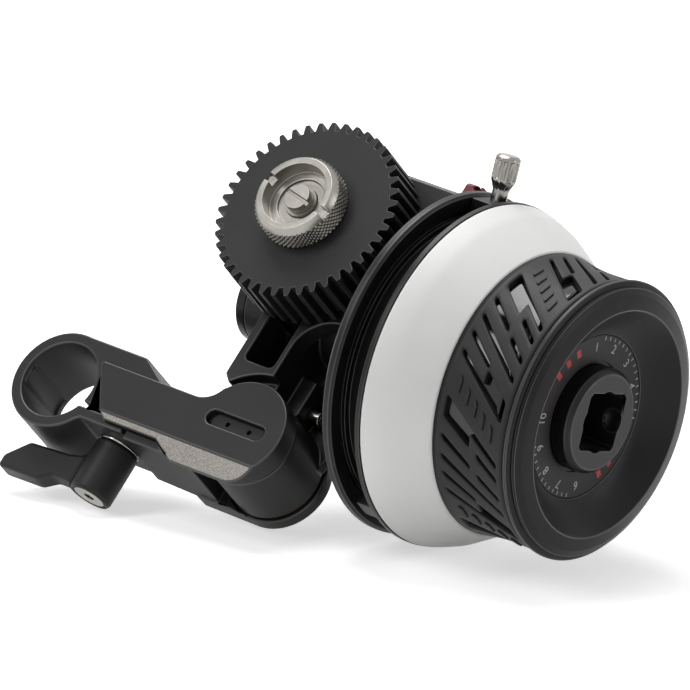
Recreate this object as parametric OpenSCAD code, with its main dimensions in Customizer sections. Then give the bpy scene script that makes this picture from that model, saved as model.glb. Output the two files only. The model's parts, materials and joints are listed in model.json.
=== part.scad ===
// Follow focus unit for a single 15 mm rod: a rod clamp with a hinged arm carries a gearbox,
// whose bevel and spur gears pass the turn of a hand knob on to a lens drive gear.
// Origin: centre of the rod bore at the clamp's front face. +Y runs along the rod, away from
// the drive gear's face. +X runs along the knob's axis, towards the operator. +Z is up.
// All sizes are in millimetres.

/* [Rod clamp] */
// Diameter of the rod that the clamp holds
rod_d = 15; // [12:0.5:19]
// Radial clearance between the rod and the bore
rod_clearance = 0.03; // [0.01:0.01:0.1]
// Wall of the clamp ring
ring_wall = 2.2; // [1.8:0.1:3.5]
// Length of the clamp along the rod
clamp_depth = 15.4; // [13:0.2:15.8]
// Width of the sawn gap between the clamp's jaws
split_gap = 1; // [0.6:0.1:1.6]
// Thickness of the lower jaw where the lever's washer sits
jaw_t = 2.1; // [1.5:0.1:3]

/* [Clamp lever] */
// Distance from the rod's axis to the lever's axis
lever_x = 14; // [13.8:0.1:15]
// Diameter of the clamp screw
clamp_screw_d = 5; // [4:0.5:6]
// Radius of the lever's round hub
lever_hub_r = 4.2; // [3.8:0.1:4.6]
// Height of the lever's round hub
lever_hub_h = 10.4; // [9:0.2:14]
// Reach of the lever's wing from its axis
wing_reach = 20.2; // [16:0.2:24]
// Thickness of the wing
wing_t = 4.4; // [3:0.2:5.5]

/* [Arm and hinge] */
// Distance from the rod's axis to the hinge pin, along the arm
pivot_x = 41.9; // [39:0.1:52]
// Height of the hinge pin above the rod's axis
pivot_z = 2.8; // [1:0.1:5]
// Radius of the arm's round end
arm_end_r = 9.4; // [9.2:0.1:10.5]
// Thickness of the arm's front plate
front_plate_t = 4.2; // [3.6:0.1:4.8]
// Thickness of the arm's rear plate
rear_plate_t = 2.6; // [2:0.1:4]
// How far the front plate stands proud of the clamp's front face
plate_proud = 2; // [1.5:0.1:2.4]
// Radius of the hinge barrel
hinge_r = 9; // [8:0.1:9.2]
// Length of the hinge barrel
hinge_len = 12.4; // [11:0.1:14]
// Diameter of the hinge pin
pivot_pin_d = 8; // [6:0.5:10]
// Thickness of each friction washer
washer_t = 0.7; // [0.4:0.1:1]

/* [Drive gear] */
// Teeth on the drive gear
gear_teeth = 43; // [38:1:46]
// Module of the drive gear
gear_module = 0.8; // [0.7:0.1:0.8]
// Width of the drive gear
gear_width = 10.2; // [8:0.2:12.4]
// Place of the gear shaft to the right of the rod's axis
gear_x = 35.9; // [35:0.1:38]
// Height of the gear shaft above the rod's axis
gear_z = 42.8; // [41:0.1:46]
// Radius of the knurled nut
nut_r = 8.2; // [7:0.1:9]
// Thickness of the knurled nut
nut_t = 5.4; // [5:0.1:7]

/* [Gear train] */
// Teeth on each of the two spur gears
spur_teeth = 18; // [16:1:18]
// Module of the spur gears
spur_module = 0.6; // [0.5:0.05:0.6]
// Width of the spur gears
spur_width = 3; // [2.4:0.1:3.1]
// Teeth on each of the two bevel gears
bevel_teeth = 20; // [18:2:22]
// Pitch radius of the bevel gears at their large ends
bevel_r = 5.5; // [5:0.1:5.6]
// Width of the bevel gears along their shafts
bevel_width = 2.7; // [2:0.1:2.8]
// Diameter of the knob shaft and of the gear shaft
shaft_d = 6; // [5:0.5:6]

/* [Gearbox] */
// Depth of the gearbox case, without its rear cover
case_depth = 19.6; // [19.6:0.1:23.6]
// Thickness of the rear cover
cover_t = 2; // [1.6:0.1:3]
// Radius of the case around the gear shaft
case_r = 16.8; // [14:0.1:17.2]
// Wall in front of the spur gears
front_wall = 1.8; // [1.6:0.1:1.8]
// Radius of the barrel round the knob shaft
barrel_r = 8; // [7.7:0.1:8]
// Bore of that barrel
barrel_bore_r = 6.6; // [6.5:0.05:6.8]
// Left end of the barrel
barrel_x0 = 21; // [19:0.5:24]
// Distance from the front face to the knob shaft's axis
knob_y = 11.5; // [11.5:0.1:11.6]

/* [Stop drum and knob] */
// Rear face of the stop drum
drum_x = 60.2; // [60:0.1:66]
// Radius of the drum's rim
drum_r = 31.8; // [29:0.1:38.4]
// Thickness of the drum's rim
drum_rim_t = 2.2; // [1.8:0.1:3]
// Width of the channel that the stops slide in
channel_w = 5.8; // [5.6:0.1:7]
// Depth of that channel
channel_d = 5.4; // [5:0.1:6]
// Length of the white marking ring along the knob's axis
marking_w = 12; // [10:0.2:15]
// Radius of the white ring where the grip starts
marking_front_r = 26.3; // [25:0.1:27.5]
// Length of the rubber grip
grip_w = 15.2; // [11:0.2:20]
// Radius of the grip at its waist
grip_waist_r = 25.2; // [24:0.1:25.8]
// Thickness of the rubber
rubber_t = 1.2; // [1:0.1:2]
// Radius of the knob's front flange
flange_r = 25.8; // [25:0.1:27]
// Thickness of the front flange
flange_t = 3.5; // [3.3:0.1:5]
// Width across the flats of the accessory socket
socket_w = 10.4; // [9:0.1:10.8]
// Depth of the accessory socket
socket_depth = 10; // [6:0.5:12]

/* [Hard stops] */
// Angle of the first stop round the knob's axis
stop_a_angle = 120.5; // [100:0.5:150]
// Angle of the second stop round the knob's axis
stop_b_angle = 35; // [10:0.5:60]
// Angle of the dog that meets the stops
dog_angle = 270; // [250:1:290]
// Radius of the stops' thumbscrew heads
thumb_r = 2.3; // [2.1:0.1:3.6]
// Height of the thumbscrew heads
thumb_h = 5.4; // [4:0.2:9]

/* [Hidden] */
$fn = 96;

// Clearances
fit = 0.03;          // running fit of a shaft in its bore, on the radius
slip = 0.12;         // sliding gap between a stop and its channel
gap = 0.3;           // gap between parts that turn past each other
cut = 1;             // how far a cutter runs past a face

// Clamp and arm
bore_r = rod_d / 2 + rod_clearance;
ring_r = bore_r + ring_wall;
lever_y = clamp_depth / 2;
split_top = -2.2;
split_bottom = split_top - split_gap;
jaw_bottom = split_bottom - jaw_t;
jaw_end_x = lever_x + lever_hub_r;
web_x = jaw_end_x + split_gap;
plate_y0 = -plate_proud;
plate_y1 = plate_y0 + front_plate_t;
hinge_y0 = plate_y1 + washer_t;
hinge_y1 = hinge_y0 + hinge_len;
rear_y0 = hinge_y1 + washer_t;
rear_y1 = rear_y0 + rear_plate_t;
pivot_pin_r = pivot_pin_d / 2;
arm_top = pivot_z + 2.8;
arm_bottom = pivot_z - arm_end_r;
block_top = ring_r - 0.05;
shoulder_z = arm_bottom + 2.2;      // lower edge of the slim part of the front plate
facet_z = pivot_z - 6.1;            // where the bare-metal facet leaves the front face
slot_len = 13.2;
slot_w = 2.9;
insert_depth = 1.4;                 // how far the insert lies below the plate's face
insert_t = 1;
arm_screw_r = 1.5;
arm_screw_spots = [[web_x + 3, 2.6], [web_x + 6, -2.8]];

// Lever
washer_seat_t = 0.6;
hub_top = jaw_bottom - washer_seat_t - 0.05;
hub_bottom = hub_top - lever_hub_h;
wing_top = min(hub_top - 4.7, -ring_r - 0.9);
clamp_screw_r = clamp_screw_d / 2;

// Gear train
gear_tip_r = gear_module * (gear_teeth + 2) / 2;
gear_y1 = -0.8;
gear_y0 = gear_y1 - gear_width;
nut_y0 = gear_y0 - 0.1 - nut_t;
spur_pitch_r = spur_module * spur_teeth / 2;
idler_z = gear_z - 2 * spur_pitch_r;
knob_z = idler_z;
shaft_r = shaft_d / 2;
idler_r = 1.5;
spur_y0 = front_wall + gap;
spur_y1 = spur_y0 + spur_width;
bevel_x1 = gear_x + bevel_r;
bevel_x0 = bevel_x1 - bevel_width;
bevel_y1 = knob_y + bevel_r;
bevel_y0 = bevel_y1 - bevel_width;
cavity_r = barrel_bore_r;
cover_y1 = case_depth + cover_t;
case_top = gear_z + case_r;
case_x1 = drum_x - 0.8;
barrel_flange_t = 3;
cover_x1 = drum_x - barrel_flange_t - gap;
cap_t = 2;
bearing_w = 4;
bearing_1_x = bevel_x1 + 3;
bearing_2_x = drum_x - 2 - bearing_w;
leg_x0 = pivot_x - 10.5;
leg_x1 = pivot_x - 0.9;
leg_rib_x = leg_x1 + 3.5;
rib_top = pivot_z + 16.3;
pocket_z = pivot_z + 13.2;
pocket_corner_r = 1.2;
leg_wall = 1.8;
leg_arc_r = arm_end_r + 2.5;
leg_rib_y = 7.5;
lock_screw_z = pivot_z + 11.4;
shelf_z = knob_z - 3.7;             // lower edge of the case to the right of the leg
fillet_r = 7;
case_screw_spots = [[-11.5, 6], [-2, 13.5], [cover_x1 - gear_x - 3.5, case_r - 3.5],
                    [cover_x1 - gear_x - 3.5, -1]];

// Stop drum and knob
rim_x1 = drum_x + 1.1 + drum_rim_t;
channel_r = drum_r - channel_d;
channel_x1 = rim_x1 + channel_w;
drum_front = channel_x1 - gap;
plate_t = 1;
plate_front = channel_x1 + plate_t;
marking_front = plate_front + marking_w;
neck_w = 2.4;                       // part of the grip that lies round the flange's neck
core_share = 1 - neck_w / grip_w;
grip_front = marking_front + grip_w;
flange_front = grip_front + flange_t;
core_front = grip_front - neck_w;
hub_face = flange_front - 1.4;
grip_root_r = marking_front_r - 0.2;
grip_lip_r = flange_r - 0.4;
waist_share = 0.55;                 // where the waist lies along the grip
dial_x = flange_front - 5.1;
dial_r = 15;
bowl_r = flange_r - 4.9;
hub_r = 8.8;
hub_gap_r = hub_r + 1.7;
web_t = 2;
socket_angle = 30;
detent_r = 3.2;                     // spherical pockets in the socket's sides
detent_reach = 0.8;
detent_depth = 1.6;
core_r = marking_front_r - 2.3;
lip_h = 1;                          // lip that keeps a stop from sliding off the drum
lip_t = 0.9;
ear_r0 = channel_r + 1.2;
ear_r1 = ear_r0 + 1.2;
ear_t = 0.8;
stop_half_angle = 7.5;
stop_r1 = drum_r - 0.6;
stop_x = (rim_x1 + channel_x1) / 2;
stop_screw_r = 1.5;
thumb_r0 = drum_r + 2.4;
dog_half_angle = 4;

// Radius of the grip at a share of its length, from the white ring to the flange.
function grip_r(share) = share < waist_share
    ? grip_waist_r + (grip_root_r - grip_waist_r) * pow(1 - share / waist_share, 1.8)
    : grip_waist_r + (grip_lip_r - grip_waist_r) * pow((share - waist_share) / (1 - waist_share), 2);

// Points along the grip from one share of its length to another, sunk below its surface.
function grip_curve(sunk, from, to, steps) = [for (i = [0 : steps])
    let (share = from + (to - from) * i / steps) [grip_r(share) - sunk, marking_front + share * grip_w]];

// ---- helpers --------------------------------------------------------------------------------

// A shape drawn in X and Z, between two values of Y.
module xz_prism(y0, y1) {
    translate([0, y1, 0]) rotate([90, 0, 0]) linear_extrude(y1 - y0) children();
}

// A cylinder along Y.
module y_cylinder(r, y0, y1, x, z) {
    translate([x, y0, z]) rotate([-90, 0, 0]) cylinder(r = r, h = y1 - y0);
}

// A cylinder along X, on the knob's axis unless a place is given.
module x_cylinder(r, x0, x1, y = knob_y, z = knob_z) {
    translate([x0, y, z]) rotate([0, 90, 0]) cylinder(r = r, h = x1 - x0);
}

// A turned shape round the knob's axis, from [radius, x] points.
module knob_turning(points) {
    translate([0, knob_y, knob_z]) rotate([0, 90, 0]) rotate_extrude() polygon(points);
}

// What is drawn for angle 0, which is +Y, at another angle round the knob's axis.
module round_knob(angle) {
    translate([0, knob_y, knob_z]) rotate([angle, 0, 0]) translate([0, -knob_y, -knob_z]) children();
}

// A screw along Y with its socket head at the greater Y.
module y_screw(r, head_r, head_h, y0, y1, x, z, socket_r) {
    difference() {
        union() {
            y_cylinder(r, y0, y1, x, z);
            y_cylinder(head_r, y1 - head_h, y1, x, z);
        }
        translate([x, y1 - 0.6 * head_h, z]) rotate([-90, 0, 0]) cylinder(r = socket_r, h = cut + head_h, $fn = 6);
    }
}

// Outline of a gear, with straight-flanked teeth whose widths are shares of the pitch.
module gear_outline(teeth, pitch_r, addendum, dedendum, tip_share, pitch_share, turn = 0) {
    pitch = 360 / teeth;
    root_share = pitch_share + 0.18;
    polygon([for (i = [0 : teeth - 1], k = [-3 : 2])
        let (side = k < 0 ? -1 : 1,
             level = k < 0 ? -k : k + 1,
             r = level == 1 ? pitch_r + addendum : level == 2 ? pitch_r : pitch_r - dedendum,
             share = level == 1 ? tip_share : level == 2 ? pitch_share : root_share,
             a = turn + pitch * (i + side * share / 2))
        [r * cos(a), r * sin(a)]]);
}

// A small spur gear of the train, standing along Y.
module train_spur(z, turn) {
    translate([gear_x, spur_y1, z]) rotate([90, 0, 0]) linear_extrude(spur_width) difference() {
        gear_outline(spur_teeth, spur_pitch_r, 0.75 * spur_module, 1.15 * spur_module, 0.2, 0.38, turn);
        circle(r = z == gear_z ? shaft_r : idler_r);
    }
}

// A bevel gear along +Z: large end at 0, tapering to its apex at bevel_r.
module train_bevel(bore, hub_r, hub_h, turn) {
    m = 2 * bevel_r / bevel_teeth;
    difference() {
        union() {
            linear_extrude(bevel_width, scale = 1 - bevel_width / bevel_r)
                gear_outline(bevel_teeth, bevel_r, 0.7 * m, 1.15 * m, 0.18, 0.36, turn);
            translate([0, 0, -hub_h]) cylinder(r = hub_r, h = hub_h + 0.5);
        }
        translate([0, 0, -hub_h - cut]) cylinder(r = bore, h = bevel_width + hub_h + 2 * cut);
    }
}

// ---- arm ------------------------------------------------------------------------------------

// Side view of the front plate.
module front_plate_outline() {
    blend_r = 5;
    blend_x = pivot_x - sqrt(pow(arm_end_r + blend_r, 2) - pow(arm_top + blend_r - pivot_z, 2));
    difference() {
        union() {
            translate([pivot_x, pivot_z]) circle(r = arm_end_r);
            polygon([
                [7.6, arm_top - 0.6], [12.9, facet_z], [14.2, shoulder_z],
                [pivot_x - 15.4, shoulder_z], [pivot_x - 12, arm_bottom], [pivot_x, arm_bottom],
                [pivot_x, pivot_z], [pivot_x - 4, pivot_z + 8.3], [blend_x, arm_top], [8.2, arm_top]
            ]);
        }
        translate([blend_x, arm_top + blend_r]) circle(r = blend_r);
    }
}

module arm_front_plate() {
    // The lower facet runs back at 45 degrees from the front face.
    color("#2b2b2d") difference() {
        xz_prism(plate_y0, plate_y1) front_plate_outline();
        translate([0, plate_y0, facet_z]) rotate([45, 0, 0]) translate([0, -12, -24]) cube([60, 12, 24]);
        translate([5, plate_y0, arm_top - 1]) rotate([45, 0, 0]) translate([0, -3, 0]) cube([pivot_x - 16, 3, 4]);
        xz_prism(plate_y0 - cut, plate_y0 + insert_depth + insert_t) slot_outline(0);
        y_cylinder(pivot_pin_r, plate_y1 - 0.8, plate_y1 + cut, pivot_x, pivot_z);
        for (p = arm_screw_spots) y_cylinder(arm_screw_r, plate_y1 - 2.6, plate_y1 + cut, p[0], p[1]);
    }
}

// Round-ended slot across the hinge, with its edge moved in by a clearance.
module slot_outline(inset) {
    half = slot_len / 2 - slot_w / 2;
    translate([pivot_x - 0.9, pivot_z + 0.2]) union() {
        for (side = [-1, 1]) translate([side * half, 0]) circle(r = slot_w / 2 - inset);
        square([2 * half, slot_w - 2 * inset], center = true);
    }
}

module arm_slot_insert() {
    y0 = plate_y0 + insert_depth;
    color("#303032") difference() {
        xz_prism(y0, y0 + insert_t) slot_outline(0);
        for (side = [-1, 1])
            y_cylinder(0.45, y0 - cut, y0 + 0.7, pivot_x - 0.9 + 2.5 * side, pivot_z + 0.2);
    }
}

// Side view of the clamp's block with both jaws, ring left out.
module clamp_block_outline() {
    difference() {
        polygon([
            [0, block_top], [lever_x + 0.6, block_top], [lever_x + 6, arm_top + 0.9],
            [pivot_x - 8, arm_top], [pivot_x - 8, arm_bottom + 0.4], [web_x, arm_bottom + 0.4],
            [web_x, split_top], [jaw_end_x, split_top], [jaw_end_x, jaw_bottom],
            [8.6, jaw_bottom], [4, -ring_r + 0.9], [0, -ring_r + 0.4]
        ]);
        translate([bore_r - 1, split_bottom]) square([web_x - bore_r + 1, split_gap]);
        translate([jaw_end_x, jaw_bottom - cut]) square([split_gap, split_top - jaw_bottom + cut]);
    }
}

module arm_body() {
    color("#262628") difference() {
        union() {
            y_cylinder(ring_r, 0, clamp_depth, 0, 0);
            xz_prism(0, clamp_depth) clamp_block_outline();
            xz_prism(clamp_depth - 0.5, rear_y1) rear_plate_outline();
        }
        // rod bore and three shallow reliefs between its ends
        y_cylinder(bore_r, -cut, rear_y1 + cut, 0, 0);
        for (a = [55, 185, 275]) rotate([0, -a, 0]) translate([bore_r - 3.4, 1.6, 0])
            rotate([-90, 0, 0]) cylinder(r = 3.8, h = clamp_depth - 3.2);
        translate([bore_r - 1.5, -cut, split_bottom]) cube([3, clamp_depth + 2 * cut, split_gap]);
        // seat of the front plate and room for the hinge barrel and its washers
        xz_prism(-cut, plate_y1) front_plate_outline();
        y_cylinder(hinge_r + 0.5, plate_y1 - cut, rear_y0, pivot_x, pivot_z);
        y_cylinder(hinge_r + 1.1, -cut, hinge_y0, pivot_x, pivot_z);
        // clamp screw: clear through the lower jaw, tapped in the upper one
        translate([lever_x, lever_y, jaw_bottom - cut]) cylinder(r = clamp_screw_r + 0.25, h = jaw_t + split_gap);
        translate([lever_x, lever_y, split_top - cut]) cylinder(r = clamp_screw_r + 0.06, h = 9);
        // hinge pin and the plate's screws
        y_cylinder(pivot_pin_r, rear_y0 - cut, rear_y1 + cut, pivot_x, pivot_z);
        for (p = arm_screw_spots) {
            y_cylinder(arm_screw_r, plate_y1 - cut, rear_y1 + cut, p[0], p[1]);
            y_cylinder(2.7, rear_y1 - 1.8, rear_y1 + cut, p[0], p[1]);
        }
    }
}

// Side view of the rear plate.
module rear_plate_outline() {
    union() {
        translate([pivot_x, pivot_z]) circle(r = arm_end_r);
        polygon([
            [11, block_top - 1.5], [lever_x + 6, arm_top + 0.9], [pivot_x - 9, arm_top],
            [pivot_x - 4, pivot_z + 8.5], [pivot_x, pivot_z], [pivot_x, arm_bottom],
            [pivot_x - 12.5, arm_bottom + 0.1], [web_x + 4, arm_bottom + 2.4], [web_x, arm_bottom + 4.8],
            [web_x, split_top], [11, split_top]
        ]);
    }
}

module arm_plate_screws() {
    color("silver") for (p = arm_screw_spots)
        y_screw(arm_screw_r, 2.6, 1.6, plate_y1 - 2.4, rear_y1 - 0.2, p[0], p[1], 1.2);
}

module hinge_pin() {
    color("silver") difference() {
        y_cylinder(pivot_pin_r, plate_y1 - 0.8, rear_y1 - 0.1, pivot_x, pivot_z);
        y_cylinder(2, hinge_y0 + 3, rear_y1 + cut, pivot_x, pivot_z);
    }
}

module hinge_washers() {
    color("#6b5a3a") for (y = [plate_y1, hinge_y1]) difference() {
        y_cylinder(hinge_r - 0.4, y + 0.05, y + washer_t - 0.05, pivot_x, pivot_z);
        y_cylinder(pivot_pin_r + 0.1, y - cut, y + washer_t + cut, pivot_x, pivot_z);
    }
}

module hinge_screw_washer() {
    color("silver") difference() {
        y_cylinder(5.4, rear_y1, rear_y1 + 0.8, pivot_x, pivot_z);
        y_cylinder(2, rear_y1 - cut, rear_y1 + 2, pivot_x, pivot_z);
    }
}

module hinge_screw() {
    y0 = rear_y1 + 0.8;
    color("#3a3a3c") difference() {
        union() {
            y_cylinder(2, hinge_y0 + 4, y0 + 0.2, pivot_x, pivot_z);
            translate([pivot_x, y0, pivot_z]) rotate([-90, 0, 0]) cylinder(r1 = 4.2, r2 = 3, h = 2);
        }
        translate([pivot_x, y0 + 0.7, pivot_z]) rotate([-90, 0, 0]) cylinder(r = 1.5, h = 3, $fn = 6);
    }
}

// ---- clamp lever ----------------------------------------------------------------------------

module clamp_washer() {
    color("silver") translate([lever_x, lever_y, jaw_bottom - washer_seat_t]) difference() {
        cylinder(r = lever_hub_r - 0.1, h = washer_seat_t);
        translate([0, 0, -cut]) cylinder(r = clamp_screw_r + 0.2, h = washer_seat_t + 2 * cut);
    }
}

module clamp_screw() {
    color("silver") translate([lever_x, lever_y, hub_bottom + 4.5])
        cylinder(r = clamp_screw_r, h = split_top + 7 - hub_bottom - 4.5);
}

module clamp_lever() {
    tip = lever_x - wing_reach;
    color("#222224") difference() {
        union() {
            translate([lever_x, lever_y, hub_bottom]) cylinder(r = lever_hub_r, h = lever_hub_h);
            xz_prism(lever_y - wing_t / 2, lever_y + wing_t / 2) polygon([
                [lever_x - 2, wing_top + 1.3], [lever_x - 7.3, wing_top], [tip + 3.8, wing_top - 0.5],
                [tip, wing_top - 4.5], [tip, wing_top - 6.9], [tip + 9, wing_top - 6.7],
                [tip + 11.8, wing_top - 4.9], [lever_x - 2, wing_top - 4.9]
            ]);
        }
        translate([lever_x, lever_y, hub_bottom + 4.5]) cylinder(r = clamp_screw_r, h = lever_hub_h);
        translate([lever_x, lever_y, hub_bottom - cut]) cylinder(r = 1.6, h = 6);
        translate([lever_x, lever_y, hub_bottom - 0.01]) cylinder(r1 = 3.2, r2 = 1.6, h = 1.6);
    }
}

module lever_cap_screw() {
    color("silver") translate([lever_x, lever_y, hub_bottom]) difference() {
        union() {
            cylinder(r1 = 3.1, r2 = 1.5, h = 1.6);
            cylinder(r = 1.5, h = 4.5);
        }
        translate([0, 0, -cut]) cylinder(r = 1.15, h = cut + 1.4, $fn = 6);
    }
}

// ---- gearbox --------------------------------------------------------------------------------

// Side view of the case round the gears, as far as x1.
module case_outline(x1) {
    union() {
        translate([gear_x, gear_z]) circle(r = case_r);
        translate([gear_x, gear_z]) square([x1 - gear_x, case_r]);
        polygon([
            [leg_x0, knob_z - 5], [leg_x1 + fillet_r, shelf_z], [x1, shelf_z],
            [x1, gear_z + 1], [gear_x, gear_z + 1], [leg_x0, gear_z]
        ]);
    }
}

// Side view of the leg that joins the case to the hinge barrel.
module leg_outline() {
    polygon([
        [leg_x0, pivot_z + 9.4], [pivot_x - 6.7, pivot_z + 6], [pivot_x, pivot_z + 4], [pivot_x + 2, pivot_z + 8],
        [leg_x1, pivot_z + 9.5], [leg_x1, knob_z], [leg_x0, knob_z]
    ]);
}

// Side view of the rib on the leg's right side, which carries the lock screw.
module leg_rib_outline() {
    polygon([
        [pivot_x - 2, pivot_z + 5], [pivot_x, pivot_z + 4], [pivot_x + 2, pivot_z + 8],
        [leg_rib_x, pivot_z + 9.5], [leg_rib_x, rib_top], [pivot_x - 2, rib_top]
    ]);
}

// Side view of the thin web behind the leg, from the hinge barrel to the knob's barrel.
module leg_web_outline() {
    polygon([
        [pivot_x, pivot_z], [pivot_x + hinge_r - 0.6, pivot_z + 2], [pivot_x + hinge_r + 1, pivot_z + 9],
        [case_x1 - 5, shelf_z - 1], [case_x1 - 5, knob_z], [leg_x1, knob_z]
    ]);
}

// Fillet between the leg's right side and the case's lower edge.
module leg_fillet_outline() {
    difference() {
        translate([leg_x1 - 0.1, shelf_z - fillet_r]) square(fillet_r + 0.1);
        translate([leg_x1 + fillet_r, shelf_z - fillet_r]) circle(r = fillet_r);
    }
}

module gearbox_case() {
    color("#29292b") difference() {
        union() {
            difference() {
                union() {
                    xz_prism(0, case_depth) case_outline(case_x1);
                    xz_prism(0, hinge_y1) leg_outline();
                    xz_prism(leg_rib_y, hinge_y1) leg_rib_outline();
                    xz_prism(hinge_y1 - 2.2, hinge_y1) leg_web_outline();
                    xz_prism(0, 4) leg_fillet_outline();
                }
                // open pocket in the leg
                xz_prism(-cut, hinge_y1 - 2.2) offset(r = pocket_corner_r)
                    translate([leg_x0 + leg_wall + pocket_corner_r, pocket_z + pocket_corner_r])
                    square([leg_x1 - leg_x0 - leg_wall - 1.2 - 2 * pocket_corner_r,
                            knob_z - 3.3 - pocket_z - 2 * pocket_corner_r]);
                // the leg clears the arm's front plate
                y_cylinder(leg_arc_r, -cut, hinge_y0, pivot_x, pivot_z);
                translate([gear_x, -2, case_top]) rotate([45, 0, 0]) translate([-2, -4, -1.7]) cube([40, 8, 6]);
            }
            y_cylinder(hinge_r, hinge_y0, hinge_y1, pivot_x, pivot_z);
            x_cylinder(barrel_r, barrel_x0 + cap_t, drum_x);
            x_cylinder(barrel_r + 5, drum_x - barrel_flange_t, drum_x);
        }
        // the barrel's left end is open for its cap
        x_cylinder(barrel_r, barrel_x0 - 5, barrel_x0 + cap_t);
        // hinge bore
        y_cylinder(pivot_pin_r + fit, hinge_y0 - cut, hinge_y1 + cut, pivot_x, pivot_z);
        x_cylinder(1.25 + fit, pivot_x - 7, leg_rib_x + cut, knob_y, lock_screw_z);
        // barrel bore and gear chambers
        x_cylinder(barrel_bore_r, barrel_x0 - cut, drum_x + cut);
        for (z = [idler_z, gear_z]) y_cylinder(cavity_r, front_wall, case_depth + cut, gear_x, z);
        translate([gear_x - cavity_r, front_wall, idler_z]) cube([2 * cavity_r, case_depth, gear_z - idler_z]);
        // seats of the bushes in the front wall
        y_cylinder(3, -cut, front_wall + cut, gear_x, idler_z);
        y_cylinder(5.6, -cut, front_wall + cut, gear_x, gear_z);
        for (p = case_screw_spots)
            y_cylinder(1.25, case_depth - 8, case_depth + cut, gear_x + p[0], gear_z + p[1]);
        for (a = [30 : 120 : 270]) round_knob(a) x_cylinder(1.25, drum_x - barrel_flange_t - cut, drum_x + cut, knob_y + 10.4);
    }
}

module gearbox_rear_cover() {
    color("#242426") difference() {
        xz_prism(case_depth, cover_y1) case_outline(cover_x1);
        y_cylinder(idler_r + 0.9, case_depth - cut, case_depth + 1.4, gear_x, idler_z);
        y_cylinder(shaft_r + 1.6, case_depth - cut, case_depth + 1.4, gear_x, gear_z);
        for (p = case_screw_spots) {
            y_cylinder(1.3, case_depth - cut, cover_y1 + cut, gear_x + p[0], gear_z + p[1]);
            y_cylinder(2.3, cover_y1 - 1.2, cover_y1 + cut, gear_x + p[0], gear_z + p[1]);
        }
    }
}

module rear_cover_screws() {
    color("silver") for (p = case_screw_spots)
        y_screw(1.25, 2.2, 1.1, case_depth - 7, cover_y1 - 0.1, gear_x + p[0], gear_z + p[1], 0.9);
}

module barrel_cap() {
    color("#202022") difference() {
        union() {
            x_cylinder(barrel_r, barrel_x0, barrel_x0 + cap_t);
            x_cylinder(barrel_bore_r, barrel_x0, barrel_x0 + cap_t + 3);
        }
        x_cylinder(barrel_bore_r - 1.6, barrel_x0 + cap_t, barrel_x0 + cap_t + 3 + cut);
        x_cylinder(1.5, barrel_x0 - cut, barrel_x0 + 1);
    }
}

module hinge_lock_screw() {
    color("silver") difference() {
        union() {
            x_cylinder(1.25, pivot_x - 6.8, leg_rib_x + 0.1, knob_y, lock_screw_z);
            x_cylinder(1.6, leg_rib_x, leg_rib_x + 2.4, knob_y, lock_screw_z);
        }
        translate([leg_rib_x + 1.2, knob_y, lock_screw_z]) rotate([0, 90, 0]) cylinder(r = 0.9, h = 3, $fn = 6);
    }
}

// Red witness mark beside the drum's rim, notched on top.
module index_pointer() {
    w = 3.7;
    h = 3.3;
    x0 = drum_x - 6.5;
    z0 = case_top;
    color("#7a1f25") difference() {
        translate([x0, 1.8, z0]) cube([w, 3, h]);
        translate([x0 + 0.45 * w, 1.8 - cut, z0 + h - 0.8]) rotate([0, 45, 0]) cube([1.3, 3 + 2 * cut, 1.3]);
        translate([x0 - cut, 1.8, z0 + h - 0.6]) rotate([45, 0, 0]) cube([w + 2 * cut, 3, 3]);
    }
}

module idler_bushes() {
    color("#a8843a") {
        difference() {
            y_cylinder(3, 0, front_wall, gear_x, idler_z);
            y_cylinder(idler_r + fit, 0.4, front_wall + cut, gear_x, idler_z);
        }
        difference() {
            y_cylinder(idler_r + 0.9, case_depth, case_depth + 1.4, gear_x, idler_z);
            y_cylinder(idler_r + fit, case_depth - cut, case_depth + 1.2, gear_x, idler_z);
        }
    }
}

module gear_shaft_bushes() {
    color("#a8843a") {
        difference() {
            y_cylinder(5.6, -0.1, front_wall, gear_x, gear_z);
            y_cylinder(shaft_r + fit, -cut, front_wall + cut, gear_x, gear_z);
        }
        difference() {
            y_cylinder(shaft_r + 1.6, case_depth, case_depth + 1.4, gear_x, gear_z);
            y_cylinder(shaft_r + fit, case_depth - cut, case_depth + 1.2, gear_x, gear_z);
        }
    }
}

module knob_bearings() {
    color("silver") for (x = [bearing_1_x, bearing_2_x]) difference() {
        x_cylinder(barrel_bore_r, x, x + bearing_w);
        x_cylinder(shaft_r + fit, x - cut, x + bearing_w + cut);
    }
}

module bearing_spacer() {
    color("#8d8d90") difference() {
        x_cylinder(barrel_bore_r, bearing_1_x + bearing_w, bearing_2_x);
        x_cylinder(barrel_bore_r - 1.2, bearing_1_x, bearing_2_x + cut);
    }
}

// ---- idler and drive gear -------------------------------------------------------------------

module idler_shaft() {
    color("silver") y_cylinder(idler_r, 0.5, case_depth + 1.1, gear_x, idler_z);
}

module idler_spur_gear() {
    color("#b7b7ba") train_spur(idler_z, 90);
}

module idler_bevel_gear() {
    color("#c9a45a") translate([gear_x, bevel_y1, idler_z]) rotate([90, 0, 0])
        train_bevel(idler_r, 3, 1, 0);
}

module gear_shaft() {
    color("silver") y_cylinder(shaft_r, nut_y0 + 3, case_depth + 1.1, gear_x, gear_z);
}

module output_spur_gear() {
    color("#b7b7ba") train_spur(gear_z, 270 + 180 / spur_teeth);
}

// Steel hub with a flange behind the drive gear.
module gear_hub() {
    color("silver") difference() {
        union() {
            y_cylinder(5.5, gear_y0 + 0.2, gear_y1, gear_x, gear_z);
            y_cylinder(7.5, gear_y1 - 1.2, -0.4, gear_x, gear_z);
        }
        y_cylinder(shaft_r, gear_y0 - cut, cut, gear_x, gear_z);
    }
}

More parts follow.
